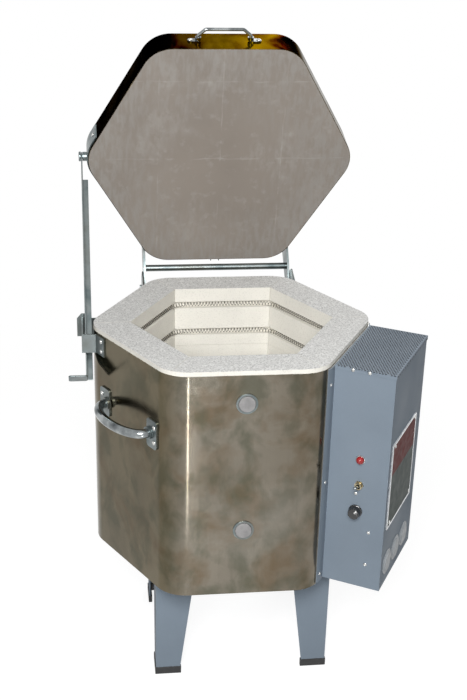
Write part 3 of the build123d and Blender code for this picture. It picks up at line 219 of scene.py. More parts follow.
def slab(bm, matrix, size, material=0, bevel=0.0):
    """A block centred on a matrix, with rounded edges."""
    new = bmesh.ops.create_cube(bm, size=1.0, matrix=matrix @ Matrix.Diagonal((*size, 1)))
    faces = {face for vert in new["verts"] for face in vert.link_faces}
    for face in faces:
        face.material_index = material
    if bevel > 0:
        edges = list({edge for vert in new["verts"] for edge in vert.link_edges})
        result = bmesh.ops.bevel(bm, geom=edges, offset=bevel, segments=2, affect="EDGES", profile=0.5)
        for face in result["faces"]:
            face.material_index = material


# Helpers for materials and node trees

def fill(tree, node, inputs):
    """Gives a node's inputs what they get: a socket's link or a plain value."""
    for key, value in inputs.items():
        socket = node.inputs[key]
        if isinstance(value, bpy.types.NodeSocket):
            tree.links.new(value, socket)
        else:
            socket.default_value = (*value, 1) if socket.type == "RGBA" else value
    return node


def add(tree, kind, inputs=None, **settings):
    """A new node with its settings and its inputs."""
    node = tree.nodes.new(kind)
    for key, value in settings.items():
        setattr(node, key, value)
    return fill(tree, node, inputs or {})


def maths(tree, operation, *values):
    """A math node's result; its inputs are sockets or numbers."""
    return add(tree, "ShaderNodeMath", dict(enumerate(values)), operation=operation).outputs[0]


def vectors(tree, operation, *values):
    """A vector math node; its inputs are sockets or vectors."""
    return add(tree, "ShaderNodeVectorMath", dict(enumerate(values)), operation=operation)


def scaled(tree, vector, amount):
    """A vector times an amount."""
    return add(tree, "ShaderNodeVectorMath", {0: vector, "Scale": amount}, operation="SCALE").outputs[0]


def position(tree, stretch=None):
    """Object coordinates, stretched where a grain runs one way."""
    place = add(tree, "ShaderNodeTexCoord").outputs["Object"]
    if stretch:
        place = add(tree, "ShaderNodeMapping", {"Vector": place, "Scale": stretch}).outputs["Vector"]
    return place


def part_of(tree, vector, axis):
    """One axis of a vector."""
    return add(tree, "ShaderNodeSeparateXYZ", {"Vector": vector}).outputs[axis]


def facing(tree, axis):
    """How far a surface faces along an axis."""
    return part_of(tree, add(tree, "ShaderNodeNewGeometry").outputs["Normal"], axis)


def noise(tree, scale, detail=5.0, stretch=None, distortion=0.0):
    """A noise texture's value."""
    return add(tree, "ShaderNodeTexNoise", {
        "Vector": position(tree, stretch), "Scale": scale, "Detail": detail, "Roughness": 0.55,
        "Distortion": distortion}).outputs["Fac"]


def ramp(tree, value, places, tones):
    """Colours along a value."""
    node = add(tree, "ShaderNodeValToRGB", {"Fac": value})
    elements = node.color_ramp.elements
    while len(elements) < len(tones):
        elements.new(0.5)
    for element, place, tone in zip(elements, places, tones):
        element.position = place
        element.color = (*tone, 1)
    return node.outputs["Color"]


def spread(tree, value, low, high, from_low=0.0, from_high=1.0):
    """A value mapped to a range."""
    return add(tree, "ShaderNodeMapRange", {"Value": value, "From Min": from_low, "From Max": from_high,
                                            "To Min": low, "To Max": high}).outputs["Result"]


def mixed(tree, factor, first, second, blend="MIX"):
    """Two colours mixed; each may be a socket or a plain colour."""
    return add(tree, "ShaderNodeMix", {0: factor, 6: first, 7: second}, data_type="RGBA",
               blend_type=blend).outputs[2]


def clouded(tree, colour, other, amount, rises, scale, detail=5.0, least=0.0, where=None, **grain):
    """A colour that gives way to another where a noise rises, and only within a mask if there is one."""
    cloud = spread(tree, noise(tree, scale, detail, **grain), least, amount, *rises)
    if where is not None:
        cloud = maths(tree, "MULTIPLY", where, cloud)
    return mixed(tree, cloud, colour, other)


def blended(tree, factor, first, second):
    """Two shaders mixed."""
    return add(tree, "ShaderNodeMixShader", {0: factor, 1: first.outputs[0], 2: second.outputs[0]})


def surface(name, tones, places=(0.3, 0.7), scale=8.0, stretch=None, rough=(0.4, 0.55), metallic=0.0, bump=0.0,
            bump_scale=300.0, bump_stretch=None, coat=0.0, marks=None, detail=5.0, distortion=0.0, specular=0.5,
            tint=(1, 1, 1)):
    """A finish with colour, gloss and relief that vary over the surface."""
    material = bpy.data.materials.new(name)
    material.use_nodes = True
    tree = material.node_tree
    colour = ramp(tree, noise(tree, scale, detail, stretch, distortion), places, tones)
    if marks:
        colour = marks(tree, colour)
    gloss = spread(tree, noise(tree, scale * 2.3, 3.0, stretch), *rough, 0.3, 0.7)
    shader = fill(tree, tree.nodes["Principled BSDF"], {
        "Base Color": colour, "Roughness": gloss, "Metallic": metallic, "Specular IOR Level": specular,
        "Specular Tint": tint, "Coat Weight": coat, "Coat Roughness": 0.08})
    if bump:
        relief = add(tree, "ShaderNodeBump", {"Strength": 0.6, "Distance": bump,
                                              "Height": noise(tree, bump_scale, 3.0, bump_stretch)})
        fill(tree, shader, {"Normal": relief.outputs["Normal"]})
    return material


# Node trees

def new_tree(name, inputs):
    """A geometry node tree with named inputs; gives the tree, what it is given and its end node."""
    tree = bpy.data.node_groups.new(name, "GeometryNodeTree")
    tree.interface.new_socket("Geometry", in_out="INPUT", socket_type="NodeSocketGeometry")
    for label, kind, value in inputs:
        socket = tree.interface.new_socket(label, in_out="INPUT", socket_type=kind)
        if value is not None:
            socket.default_value = value
    tree.interface.new_socket("Geometry", in_out="OUTPUT", socket_type="NodeSocketGeometry")
    return tree, tree.nodes.new("NodeGroupInput").outputs, tree.nodes.new("NodeGroupOutput")


def grown(carrier, tree, values, name):
    """Runs a tree on a carrier object and gives the result as a plain mesh; the carrier is removed."""
    modifier = carrier.modifiers.new("grow", "NODES")
    modifier.node_group = tree
    for item in tree.interface.items_tree:
        if item.item_type == "SOCKET" and item.in_out == "INPUT" and item.name in values:
            modifier[item.identifier] = values[item.name]
    graph = bpy.context.evaluated_depsgraph_get()
    mesh = bpy.data.meshes.new_from_object(carrier.evaluated_get(graph))
    mesh.name = name
    carrier.modifiers.clear()
    bpy.data.objects.remove(carrier)
    return mesh


def finish_tree(tree, geometry, given, end):
    """Ends a tree in Realize Instances and Set Material."""
    realize = add(tree, "GeometryNodeRealizeInstances", {0: geometry})
    paint = add(tree, "GeometryNodeSetMaterial", {"Geometry": realize.outputs[0], "Material": given["Material"]})
    fill(tree, end, {0: paint.outputs[0]})
    return tree


def coil_tree():
    """Winds a wire round each spline of a curve."""
    tree, given, end = new_tree("element_coil", [
        ("Coil radius", "NodeSocketFloat", 0.0037), ("Pitch", "NodeSocketFloat", 0.006),
        ("Wire radius", "NodeSocketFloat", 0.0008), ("Steps", "NodeSocketInt", 12),
        ("Material", "NodeSocketMaterial", None)])
    path = add(tree, "GeometryNodeResampleCurve", {
        "Curve": given["Geometry"], "Length": maths(tree, "DIVIDE", given["Pitch"], given["Steps"])}, mode="LENGTH")
    index = add(tree, "GeometryNodeInputIndex").outputs[0]
    turn = maths(tree, "MULTIPLY", index, maths(tree, "DIVIDE", 2 * pi, given["Steps"]))
    across = scaled(tree, add(tree, "GeometryNodeInputNormal").outputs[0], maths(tree, "COSINE", turn))
    rise = scaled(tree, UP, maths(tree, "SINE", turn))
    offset = scaled(tree, vectors(tree, "ADD", across, rise).outputs[0], given["Coil radius"])
    wound = add(tree, "GeometryNodeSetPosition", {"Geometry": path.outputs[0], "Offset": offset})
    circle = add(tree, "GeometryNodeCurvePrimitiveCircle", {"Resolution": 5, "Radius": given["Wire radius"]})
    tube = add(tree, "GeometryNodeCurveToMesh", {"Curve": wound.outputs[0], "Profile Curve": circle.outputs[0],
                                                 "Fill Caps": True})
    return finish_tree(tree, tube.outputs[0], given, end)


def axis_turn(tree):
    """The turn that points Z along each point's axis."""
    axis = add(tree, "GeometryNodeInputNamedAttribute", {"Name": "axis"}, data_type="FLOAT_VECTOR")
    return add(tree, "FunctionNodeAlignRotationToVector", {"Vector": axis.outputs["Attribute"]}).outputs[0]


def perforation_tree():
    """Cuts a round hole through a plate at each point of a second object."""
    tree, given, end = new_tree("perforation", [
        ("Places", "NodeSocketObject", None), ("Hole radius", "NodeSocketFloat", 0.0016),
        ("Sides", "NodeSocketInt", 8), ("Reach", "NodeSocketFloat", 0.004),
        ("Material", "NodeSocketMaterial", None)])
    places = add(tree, "GeometryNodeObjectInfo", {"Object": given["Places"]})
    drill = add(tree, "GeometryNodeMeshCylinder", {"Vertices": given["Sides"], "Radius": given["Hole radius"],
                                                   "Depth": given["Reach"]})
    drills = add(tree, "GeometryNodeInstanceOnPoints", {
        "Points": places.outputs["Geometry"], "Instance": drill.outputs["Mesh"], "Rotation": axis_turn(tree)})
    realize = add(tree, "GeometryNodeRealizeInstances", {0: drills.outputs[0]})
    cut = add(tree, "GeometryNodeMeshBoolean", {"Mesh 1": given["Geometry"], "Mesh 2": realize.outputs[0]},
              operation="DIFFERENCE")
    return finish_tree(tree, cut.outputs["Mesh"], given, end)


def fastener_tree():
    """Sets a copy of one object on each point, turned to the point's axis and by its spin."""
    tree, given, end = new_tree("fasteners", [
        ("Head", "NodeSocketObject", None), ("Size", "NodeSocketFloat", 1.0),
        ("Spin seed", "NodeSocketInt", 3), ("Material", "NodeSocketMaterial", None)])
    head = add(tree, "GeometryNodeObjectInfo", {"Object": given["Head"]})
    chance = add(tree, "FunctionNodeRandomValue", {3: pi, "Seed": given["Spin seed"]})
    own = add(tree, "ShaderNodeCombineXYZ", {"Z": chance.outputs[1]})
    spin = add(tree, "FunctionNodeEulerToRotation", {0: own.outputs[0]})
    both = add(tree, "FunctionNodeRotateRotation", {0: axis_turn(tree), 1: spin.outputs[0]}, rotation_space="LOCAL")
    copies = add(tree, "GeometryNodeInstanceOnPoints", {
        "Points": given["Geometry"], "Instance": head.outputs["Geometry"], "Rotation": both.outputs[0],
        "Scale": given["Size"]})
    return finish_tree(tree, copies.outputs[0], given, end)


def point_cloud(name, places):
    """A mesh of single points, each with the axis of what stands on it."""
    mesh = bpy.data.meshes.new(name)
    mesh.from_pydata([tuple(place) for place, _ in places], [], [])
    attribute = mesh.attributes.new("axis", "FLOAT_VECTOR", "POINT")
    for item, (_, axis) in zip(attribute.data, places):
        item.vector = axis
    return add_object(name, mesh)


def islands(node):
    """The separate solids of a CAD node, each as its corners and its faces' normals and areas."""
    bm = welded(node)
    bmesh.ops.recalc_face_normals(bm, faces=bm.faces)
    seen, groups = set(), []
    for seed in bm.verts:
        if seed in seen:
            continue
        stack, group = [seed], []
        seen.add(seed)
        while stack:
            vert = stack.pop()
            group.append(vert)
            for edge in vert.link_edges:
                other = edge.other_vert(vert)
                if other not in seen:
                    seen.add(other)
                    stack.append(other)
        faces = {face for vert in group for face in vert.link_faces}
        groups.append(([vert.co.copy() for vert in group],
                       [(face.normal.copy(), face.calc_area()) for face in faces]))
    bm.free()
    return groups


def fastener_places(node):
    """Where each screw of a CAD node seats, which way its head points and the head's radius."""
    places = []
    for points, faces in islands(node):
        sums = {}
        for normal, area in faces:
            key = tuple(round(value, 2) + 0.0 for value in normal)
            sums[key] = sums.get(key, 0) + area
        axis = Vector(max(sums, key=sums.get)).normalized()
        centre = sum(points, Vector()) / len(points)
        along = [(point - centre).dot(axis) for point in points]
        wide = [(point - centre - axis * ((point - centre).dot(axis))).length for point in points]
        widest = max(wide)
        seat = [place for place, width in zip(along, wide) if width > widest * 0.99]
        middle = (max(along) + min(along)) / 2
        if sum(seat) / len(seat) < middle:
            axis = -axis
            seat = [-place for place in seat]
        places.append((centre + axis * min(seat), axis, widest))
    return places


# What a user of the add-on may change

class KilnColours(bpy.types.PropertyGroup):
    """Colours of the kiln's finishes."""

    # The jacket's dark brownish default is painted dark reflection.
    jacket: FloatVectorProperty(name="Jacket", description="Rolled stainless sheet of the body", subtype="COLOR",
                                size=3, min=0, max=1, default=(0.235, 0.210, 0.170))
    paint: FloatVectorProperty(name="Paint", description="Blue-grey paint of the legs and control box",
                               subtype="COLOR", size=3, min=0, max=1, default=(0.228, 0.276, 0.330))
    brick: FloatVectorProperty(name="Firebrick", description="Insulating firebrick", subtype="COLOR", size=3,
                               min=0, max=1, default=(0.93, 0.905, 0.83))
    lid_face: FloatVectorProperty(name="Lid face", description="Coated underside of the lid", subtype="COLOR",
                                  size=3, min=0, max=1, default=(0.285, 0.249, 0.215))
    lamp: FloatVectorProperty(name="Lamp", description="Lens of the pilot lamp", subtype="COLOR", size=3,
                              min=0, max=1, default=(0.42, 0.004, 0.004))


class KilnSizes(bpy.types.PropertyGroup):
    """Sizes of the kiln's fine pieces."""

    coil_radius: FloatProperty(name="Coil radius", description="Radius of the heating coils' turns",
                               subtype="DISTANCE", default=3.5 * MM)
    coil_pitch: FloatProperty(name="Coil pitch", description="Distance between the turns", subtype="DISTANCE",
                              default=5.8 * MM)
    wire_radius: FloatProperty(name="Wire radius", description="Radius of the resistance wire",
                               subtype="DISTANCE", default=0.45 * MM)
    hole_pitch: FloatProperty(name="Hole pitch", description="Distance between holes in one row of the grille",
                              subtype="DISTANCE", default=5.0 * MM)
    hole_radius: FloatProperty(name="Hole radius", description="Radius of the grille's holes",
                               subtype="DISTANCE", default=1.65 * MM)
    edge: FloatProperty(name="Edge radius", description="Rounding of sheet metal edges", subtype="DISTANCE",
                        default=0.6 * MM)
    brick_edge: FloatProperty(name="Brick edge", description="Rounding of the bricks' edges",
                              subtype="DISTANCE", default=1.6 * MM)
    knob_flutes: IntProperty(name="Knob flutes", description="Grip flutes round the knob", default=18, min=6)


class KilnStage(bpy.types.PropertyGroup):
    """Camera and light."""

    lens: FloatProperty(name="Lens", description="Focal length that gives the photograph's perspective",
                        subtype="DISTANCE_CAMERA", default=62.64)
    floor: FloatVectorProperty(name="Floor", description="Colour of the floor", subtype="COLOR", size=3,
                               min=0, max=1, default=(0.27, 0.27, 0.27))
    key: FloatProperty(name="Key light", description="Power of the large soft lamp", subtype="POWER",
                       default=72.0)
    fill: FloatProperty(name="Fill light", description="Power of the soft lamp behind", subtype="POWER",
                        default=26.0)
    strip: FloatProperty(name="Low light", description="Power of the low lamp that shows in the jacket's bend",
                         subtype="POWER", default=0.5)


def colours():
    """The scene's finish colours."""
    return bpy.context.scene.kiln_colours


def sizes():
    """The scene's fine sizes."""
    return bpy.context.scene.kiln_sizes


def shade(colour, amount):
    """A colour made lighter or darker."""
    return tuple(min(max(value * amount, 0), 1) for value in colour)


# Marks on single finishes

def jacket_streaks_and_painted_reflections(tree, colour):
    """Faint rolling marks; brown and green clouds and paler patches, partly heat tint and partly painted blurred
    reflection; and painted dark reflection on the left face and towards the right.
    """
    colour = clouded(tree, colour, (0.10, 0.085, 0.06), 0.07, (0.42, 0.75), 9.0, 4.0, stretch=(60, 60, 1.2))
    # Brown and green clouds and paler patches: partly heat tint, partly painted blurred reflection of the
    # surroundings.
    colour = clouded(tree, colour, (0.135, 0.088, 0.042), 0.65, (0.46, 0.64), 11.0, distortion=0.4)
    colour = clouded(tree, colour, (0.085, 0.092, 0.062), 0.60, (0.46, 0.64), 17.0, stretch=(1.3, 1.3, 0.9),
                     distortion=0.3)
    colour = clouded(tree, colour, (0.31, 0.295, 0.265), 0.40, (0.50, 0.70), 6.0, stretch=(1, 1, 0.7),
                     distortion=0.4)
    # Painted dark reflection: the jacket grows darker towards +X, over the right of the front.
    right = spread(tree, part_of(tree, position(tree), "X"), 0.0, 0.55, AXIS.x + 0.01, AXIS.x + 0.13)
    colour = mixed(tree, right, colour, (0.42, 0.38, 0.31), "MULTIPLY")
    # Painted dark reflection: faces turned towards -X, the left face, are darkened.
    left = spread(tree, facing(tree, "X"), 1.0, 0.0, -0.80, -0.05)
    return mixed(tree, left, colour, (0.52, 0.48, 0.36), "MULTIPLY")


def band_stains(tree, colour):
    """Straw and brown heat stains on the front of a dark polished band."""
    front = spread(tree, part_of(tree, position(tree), "X"), 0.0, 1.0, AXIS.x - 0.10, AXIS.x - 0.03)
    return clouded(tree, colour, (0.25, 0.175, 0.055), 0.9, (0.40, 0.62), 9.0, 4.0, least=0.15, where=front,
                   distortion=0.8)


def brick_specks(tree, colour):
    """Pores of the brick, and the grey weathered grain of the rim."""
    upward = spread(tree, facing(tree, "Z"), 0.0, 1.0, 0.75, 0.98)
    high = spread(tree, part_of(tree, position(tree), "Z"), 0.0, 1.0, RIM - 0.004, RIM - 0.001)
    colour = clouded(tree, colour, (0.45, 0.43, 0.38), 0.22, (0.54, 0.68), 400.0, 3.0)
    top = clouded(tree, (0.80, 0.80, 0.78), (0.40, 0.395, 0.38), 0.66, (0.48, 0.62), 400.0, 3.0)
    top = clouded(tree, top, (0.98, 0.98, 0.96), 0.80, (0.52, 0.62), 300.0, 2.0)
    return mixed(tree, maths(tree, "MULTIPLY", upward, high), colour, top)


def lid_marks(tree, colour):
    """Pale broken joints, dust, scuffs and a streaked margin on the lid's coated brick."""
    low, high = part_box("lid_slab")
    lines = [("X", AXIS.x + x) for x in (-0.117, -0.002, 0.113)]
    lines += [("Z", low.z + (high.z - low.z) * share) for share in (0.49, 0.83)]
    line_half = 0.0011
    wobble = spread(tree, noise(tree, 22.0, 2.0), -0.003, 0.003)
    joints = 0.0
    for axis, where in lines:
        moved = maths(tree, "ADD", part_of(tree, position(tree), axis), wobble)
        joints = maths(tree, "MAXIMUM", joints, maths(tree, "COMPARE", moved, where, line_half))
    colour = clouded(tree, colour, (0.52, 0.49, 0.46), 0.24, (0.44, 0.62), 30.0, 3.0, where=joints)
    colour = clouded(tree, colour, (0.52, 0.50, 0.475), 0.22, (0.56, 0.74), 60.0, 6.0)
    patch = spread(tree, noise(tree, 9.0, 2.0), 0.0, 1.0, 0.52, 0.64)
    colour = clouded(tree, colour, (0.56, 0.55, 0.53), 0.20, (0.42, 0.64), 85.0, 6.0, where=patch,
                     stretch=(1, 1, 0.35))
    away = vectors(tree, "DISTANCE", position(tree), (low + high) / 2).outputs["Value"]
    margin = spread(tree, away, 0.0, 1.0, 0.08, 0.22)
    return clouded(tree, colour, (0.335, 0.315, 0.29), 0.75, (0.42, 0.62), 120.0, 3.0, least=0.15, where=margin,
                   stretch=(1, 1, 0.06))


# Finishes of this kiln, each made once

def recipes():
    """How each finish is made."""
    jacket, paint, brick, lid_face, lamp = (tuple(getattr(colours(), name)) for name in
                                            ("jacket", "paint", "brick", "lid_face", "lamp"))
    return {
        # Bright zinc plate with faint blue and straw stains; its dark teal tones are painted dark reflection
        "zinc": dict(tones=((0.095, 0.125, 0.13), (0.21, 0.235, 0.235), (0.15, 0.155, 0.14)),
                     places=(0.3, 0.52, 0.74), scale=20.0, rough=(0.28, 0.42), metallic=1.0, bump=0.00008,
                     bump_scale=260.0),
        "screw_zinc": dict(tones=((0.46, 0.46, 0.45), (0.66, 0.66, 0.64)), places=(0.35, 0.65), scale=160.0,
                           rough=(0.2, 0.38), metallic=1.0),
        # Chromed tube with fine handling marks and uneven gloss; its dark, clouded tones are painted dark
        # reflection
        "chrome": dict(tones=((0.09, 0.10, 0.105), (0.25, 0.27, 0.275), (0.48, 0.50, 0.50)),
                       places=(0.34, 0.5, 0.66), scale=30.0, rough=(0.07, 0.16), metallic=1.0, bump=0.00005,
                       bump_scale=90.0),
        # Satin blue-grey paint with a slight orange peel
        "paint": dict(tones=(shade(paint, 0.90), paint, shade(paint, 1.10)), places=(0.3, 0.55, 0.8), scale=5.0,
                      rough=(0.45, 0.60), bump=0.00018, bump_scale=420.0, specular=0.12,
                      marks=lambda tree, colour: clouded(tree, colour, shade(paint, 0.75), 0.25, (0.45, 0.7),
                                                         900.0, 3.0)),
        "black_plastic": dict(tones=((0.012, 0.012, 0.012), (0.028, 0.028, 0.029)), scale=60.0,
                              rough=(0.42, 0.6), bump=0.00015, bump_scale=900.0),
        # Rolled stainless sheet, softly reflecting; its dark brownish tone and broad mottling are painted dark
        # reflection
        "stainless": dict(tones=(shade(jacket, 0.72), jacket, shade(jacket, 1.18)), places=(0.28, 0.5, 0.74),
                          scale=4.5, stretch=(1, 1, 0.6), rough=(0.12, 0.22), metallic=1.0, bump=0.0006,
                          bump_scale=7.0, bump_stretch=(1, 1, 0.5), marks=jacket_streaks_and_painted_reflections, distortion=0.6),
        # Polished stainless band, its near-black tones partly darkening by heat and partly painted dark reflection
        "polished_band": dict(tones=((0.008, 0.007, 0.006), (0.030, 0.024, 0.014), (0.11, 0.085, 0.04)),
                              places=(0.36, 0.52, 0.72), scale=9.0, stretch=(2.5, 1, 0.4), rough=(0.10, 0.22),
                              metallic=1.0, bump=0.0003, bump_scale=12.0, marks=band_stains, distortion=0.6,
                              tint=(0.20, 0.17, 0.11)),
        "firebrick": dict(tones=(shade(brick, 0.93), brick, shade(brick, 1.05)), places=(0.3, 0.6, 0.8),
                          scale=14.0, rough=(0.86, 0.95), bump=0.0009, bump_scale=330.0, marks=brick_specks,
                          specular=0.2),
        # Coated brick of the lid
        "lid_face": dict(tones=(shade(lid_face, 0.86), lid_face, shade(lid_face, 1.12)),
                         places=(0.25, 0.5, 0.78), scale=5.0, rough=(0.6, 0.75), bump=0.0005,
                         bump_scale=240.0, marks=lid_marks, detail=6.0, specular=0.3),
        # Pressed insulating board
        "board": dict(tones=((0.52, 0.50, 0.45), (0.66, 0.64, 0.58)), scale=30.0, rough=(0.85, 0.95),
                      bump=0.0004, bump_scale=500.0, specular=0.2),
        # Galvanised sheet with a soft spangle
        "galvanised": dict(tones=((0.42, 0.44, 0.45), (0.60, 0.62, 0.63)), places=(0.35, 0.65), scale=55.0,
                           rough=(0.35, 0.5), metallic=1.0, bump=0.0001, bump_scale=60.0),
        # Unglazed grey plugs
        "ceramic_plug": dict(tones=((0.24, 0.235, 0.235), (0.36, 0.352, 0.352)), scale=80.0, rough=(0.6, 0.75),
                             bump=0.0003, bump_scale=420.0),
        "porcelain": dict(tones=((0.74, 0.72, 0.66), (0.86, 0.85, 0.80)), scale=60.0, rough=(0.15, 0.3),
                          coat=0.4),
        # Oxidised resistance wire
        "hot_wire": dict(tones=((0.045, 0.038, 0.032), (0.13, 0.11, 0.095)), scale=70.0, rough=(0.5, 0.7),
                         metallic=0.7),
        # Woven glass sleeve of the wires
        "sleeve": dict(tones=((0.42, 0.40, 0.34), (0.60, 0.58, 0.52)), scale=160.0, rough=(0.7, 0.85),
                       bump=0.0003, bump_scale=1400.0),
        "brass": dict(tones=((0.30, 0.25, 0.15), (0.48, 0.42, 0.29)), scale=90.0, rough=(0.22, 0.4),
                      metallic=1.0),
        "knob_black": dict(tones=((0.008, 0.008, 0.009), (0.016, 0.016, 0.017)), scale=50.0, rough=(0.16, 0.3),
                           coat=0.5),
        "pointer_white": dict(tones=((0.78, 0.78, 0.76), (0.88, 0.88, 0.87)), scale=200.0, rough=(0.4, 0.5)),
        "red_glass": dict(tones=(shade(lamp, 0.7), lamp), scale=120.0, rough=(0.06, 0.16), coat=0.3),
        # Milky grey plastic of the blanking plugs
        "grey_plastic": dict(tones=((0.26, 0.285, 0.305), (0.36, 0.385, 0.405)), scale=60.0, rough=(0.3, 0.45),
                             bump=0.0001, bump_scale=500.0),
        # Walls of the grille's holes, near black as painted shade
        "painted_hole_shade": dict(tones=((0.020, 0.021, 0.022), (0.045, 0.047, 0.05)), scale=300.0, rough=(0.6, 0.8)),
        "plate_edge": dict(tones=((0.52, 0.53, 0.54), (0.72, 0.73, 0.74)), scale=70.0, rough=(0.28, 0.4),
                           metallic=1.0),
        "plate_upper": dict(tones=((0.085, 0.012, 0.010), (0.14, 0.022, 0.018)), scale=40.0, specular=0.05),
        "plate_lower": dict(tones=((0.065, 0.080, 0.072), (0.11, 0.13, 0.12)), scale=30.0, specular=0.05),
    }


def finish(name):
    """One of the kiln's finishes, made when it is first needed."""
    if name not in made:
        made[name] = surface(name, **recipes()[name])
    return made[name]


# Operators

class KILN_OT_stage(bpy.types.Operator):
    """Floor, light and camera"""

    bl_idname = "kiln.stage"
    bl_label = "Stage"

    def execute(self, context):
        stage = context.scene.kiln_stage
        scene = context.scene
        scene.view_settings.view_transform = "Standard"
        bm = bmesh.new()
        bmesh.ops.create_grid(bm, x_segments=1, y_segments=1, size=14.0)
        for vert in bm.verts:
            vert.co.z = cad_low.z - 0.0005
        floor = from_bmesh("floor", bm, smooth=False)
        floor.data.materials.append(self.floor_material(tuple(stage.floor)))
        self.world(scene)
        self.lamp("key", (-0.45, -2.3, 2.0), 1.0, stage.key)
        self.lamp("back", (1.4, 2.2, 2.4), 2.0, stage.fill)
        self.lamp("strip", (-0.12, -0.90, 0.20), 0.015, stage.strip, aim=(-0.15, -0.28, 0.20), tall=0.38)
        self.camera(stage.lens)
        return {"FINISHED"}

    def floor_material(self, colour):
        """Pale floor that is plain white wherever it isn't shadowed."""
        material = bpy.data.materials.new("floor")
        material.use_nodes = True
        tree = material.node_tree
        tone = ramp(tree, noise(tree, 2.0, 2.0), (0.3, 0.7), (shade(colour, 0.99), colour))
        shader = fill(tree, tree.nodes["Principled BSDF"], {"Base Color": tone, "Roughness": 0.9,
                                                            "Specular IOR Level": 0.0})
        glow = add(tree, "ShaderNodeEmission", {"Strength": 0.86})
        lit = add(tree, "ShaderNodeAddShader", {0: shader.outputs[0], 1: glow.outputs[0]})
        away = vectors(tree, "LENGTH", position(tree)).outputs["Value"]
        fade = blended(tree, spread(tree, away, 0.0, 1.0, 0.7, 1.6), lit, add(tree, "ShaderNodeEmission"))
        mix = blended(tree, self.seen(tree), shader, fade)
        fill(tree, tree.nodes["Material Output"], {"Surface": mix.outputs[0]})
        return material

    def seen(self, tree):
        """One where the camera sees a surface itself, in metal or through glass."""
        path = add(tree, "ShaderNodeLightPath").outputs
        total = path["Is Camera Ray"]
        for label in ("Is Glossy Ray", "Is Transmission Ray"):
            total = maths(tree, "MAXIMUM", total, path[label])
        return total

    def world(self, scene):
        """Soft light from all round, and a white backdrop for the camera, metal and glass."""
        world = bpy.data.worlds.new("studio")
        scene.world = world
        world.use_nodes = True
        tree = world.node_tree
        tree.nodes.clear()
        soft, white = (add(tree, "ShaderNodeBackground", {"Color": (1, 1, 1), "Strength": strength})
                       for strength in (0.13, 1.0))
        mix = blended(tree, self.seen(tree), soft, white)
        add(tree, "ShaderNodeOutputWorld", {"Surface": mix.outputs[0]})

    def lamp(self, name, place, size, power, aim=(0, 0, 0.6), tall=None):
        """A soft lamp that looks at the kiln."""
        light = bpy.data.lights.new(name, "AREA")
        light.shape = "RECTANGLE"
        light.size = size
        light.size_y = tall or size
        light.energy = power
        lamp = bpy.data.objects.new(name, light)
        lamp.location = place
        lamp.rotation_euler = (Vector(aim) - Vector(place)).to_track_quat("-Z", "Y").to_euler()
        bpy.context.scene.collection.objects.link(lamp)

    def camera(self, lens):
        """The photograph's viewpoint."""
        yaw, pitch, roll = radians(-7.2795), radians(23.5729), radians(1.4662)
        forward = Vector((-sin(yaw) * cos(pitch), cos(yaw) * cos(pitch), -sin(pitch)))
        right = Vector((cos(yaw), sin(yaw), 0))
        upward = right.cross(forward)
        turned_right = right * cos(roll) + upward * sin(roll)
        turned_up = upward * cos(roll) - right * sin(roll)
        data = bpy.data.cameras.new("camera")
        data.lens = lens
        data.sensor_width = 36
        camera = bpy.data.objects.new("camera", data)
        matrix = Matrix((turned_right, turned_up, -forward)).transposed().to_4x4()
        matrix.translation = Vector((-0.24846, -1.97135, RIM + 0.8085)) + AXIS
        camera.matrix_world = matrix
        bpy.context.scene.collection.objects.link(camera)
        bpy.context.scene.camera = camera


class KILN_OT_bricks(bpy.types.Operator):
    """Brick rows, floor slab, base board and lid slab"""

    bl_idname = "kiln.bricks"
    bl_label = "Firebrick"

    def execute(self, context):
        for row in ("top", "middle", "bottom"):
            softened("brick_row_" + row, sizes().brick_edge, "firebrick", angle=50)
        finish_node("floor_slab", "firebrick")
        finish_node("base_board", "board")
        softened("lid_slab", 2.5 * MM, "lid_face", angle=50)
        return {"FINISHED"}


class KILN_OT_coils(bpy.types.Operator):
    """Heating coils in the bricks' grooves"""

    bl_idname = "kiln.coils"
    bl_label = "Heating coils"

    def execute(self, context):
        fine = sizes()
        tree = coil_tree()
        inset, rise = 6.0 * MM, 4.5 * MM
        for row in ("top", "middle", "bottom"):
            node = "elements_" + row
            low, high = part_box(node)
            curve = bpy.data.curves.new(node, "CURVE")
            curve.dimensions = "3D"
            for level in (low.z + rise, high.z - rise):
                points = self.path((high.y - low.y) / 2 - inset, level)
                spline = curve.splines.new("POLY")
                spline.points.add(len(points) - 1)
                for point, place in zip(spline.points, points):
                    point.co = (*place, 1)
            carrier = add_object(node + "_path", curve)
            mesh = grown(carrier, tree, {"Coil radius": fine.coil_radius, "Pitch": fine.coil_pitch,
                                         "Wire radius": fine.wire_radius, "Steps": 12,
                                         "Material": finish("hot_wire")}, node + "_coil")
            mesh.shade_smooth()
            stand_for(add_object(node + "_coil", mesh), node)
        return {"FINISHED"}

    def path(self, apothem, level):
        """The coil's way round the chamber, from one terminal to the other."""
        gap = 14 * MM
        points = [AXIS + OUT * apothem + ALONG * gap + UP * level]
        for step in range(6):
            here = step * pi / 3
            for turn in (-0.10, -0.04, 0.04, 0.10):
                reach = apothem / cos(pi / 6 - abs(turn)) * (1 - 0.02 * (abs(turn) < 0.05))
                points.append(AXIS + Vector((cos(here + turn), sin(here + turn), 0)) * reach + UP * level)
        points.append(AXIS + OUT * apothem - ALONG * gap + UP * level)
        return points


class KILN_OT_terminals(bpy.types.Operator):
    """Element bushes, studs, wiring, relay, terminal block and cord gland"""

    bl_idname = "kiln.terminals"
    bl_label = "Terminals"

    def execute(self, context):
        finish_node("element_bushes", "porcelain")
        finish_node("element_studs", "screw_zinc")
        finish_node("wiring", "sleeve")
        for node in ("terminal_block", "relay", "cord_gland", "rotary_switch"):
            softened(node, 0.5 * MM, "black_plastic")
        finish_node("box_back_plate", "galvanised")
        return {"FINISHED"}


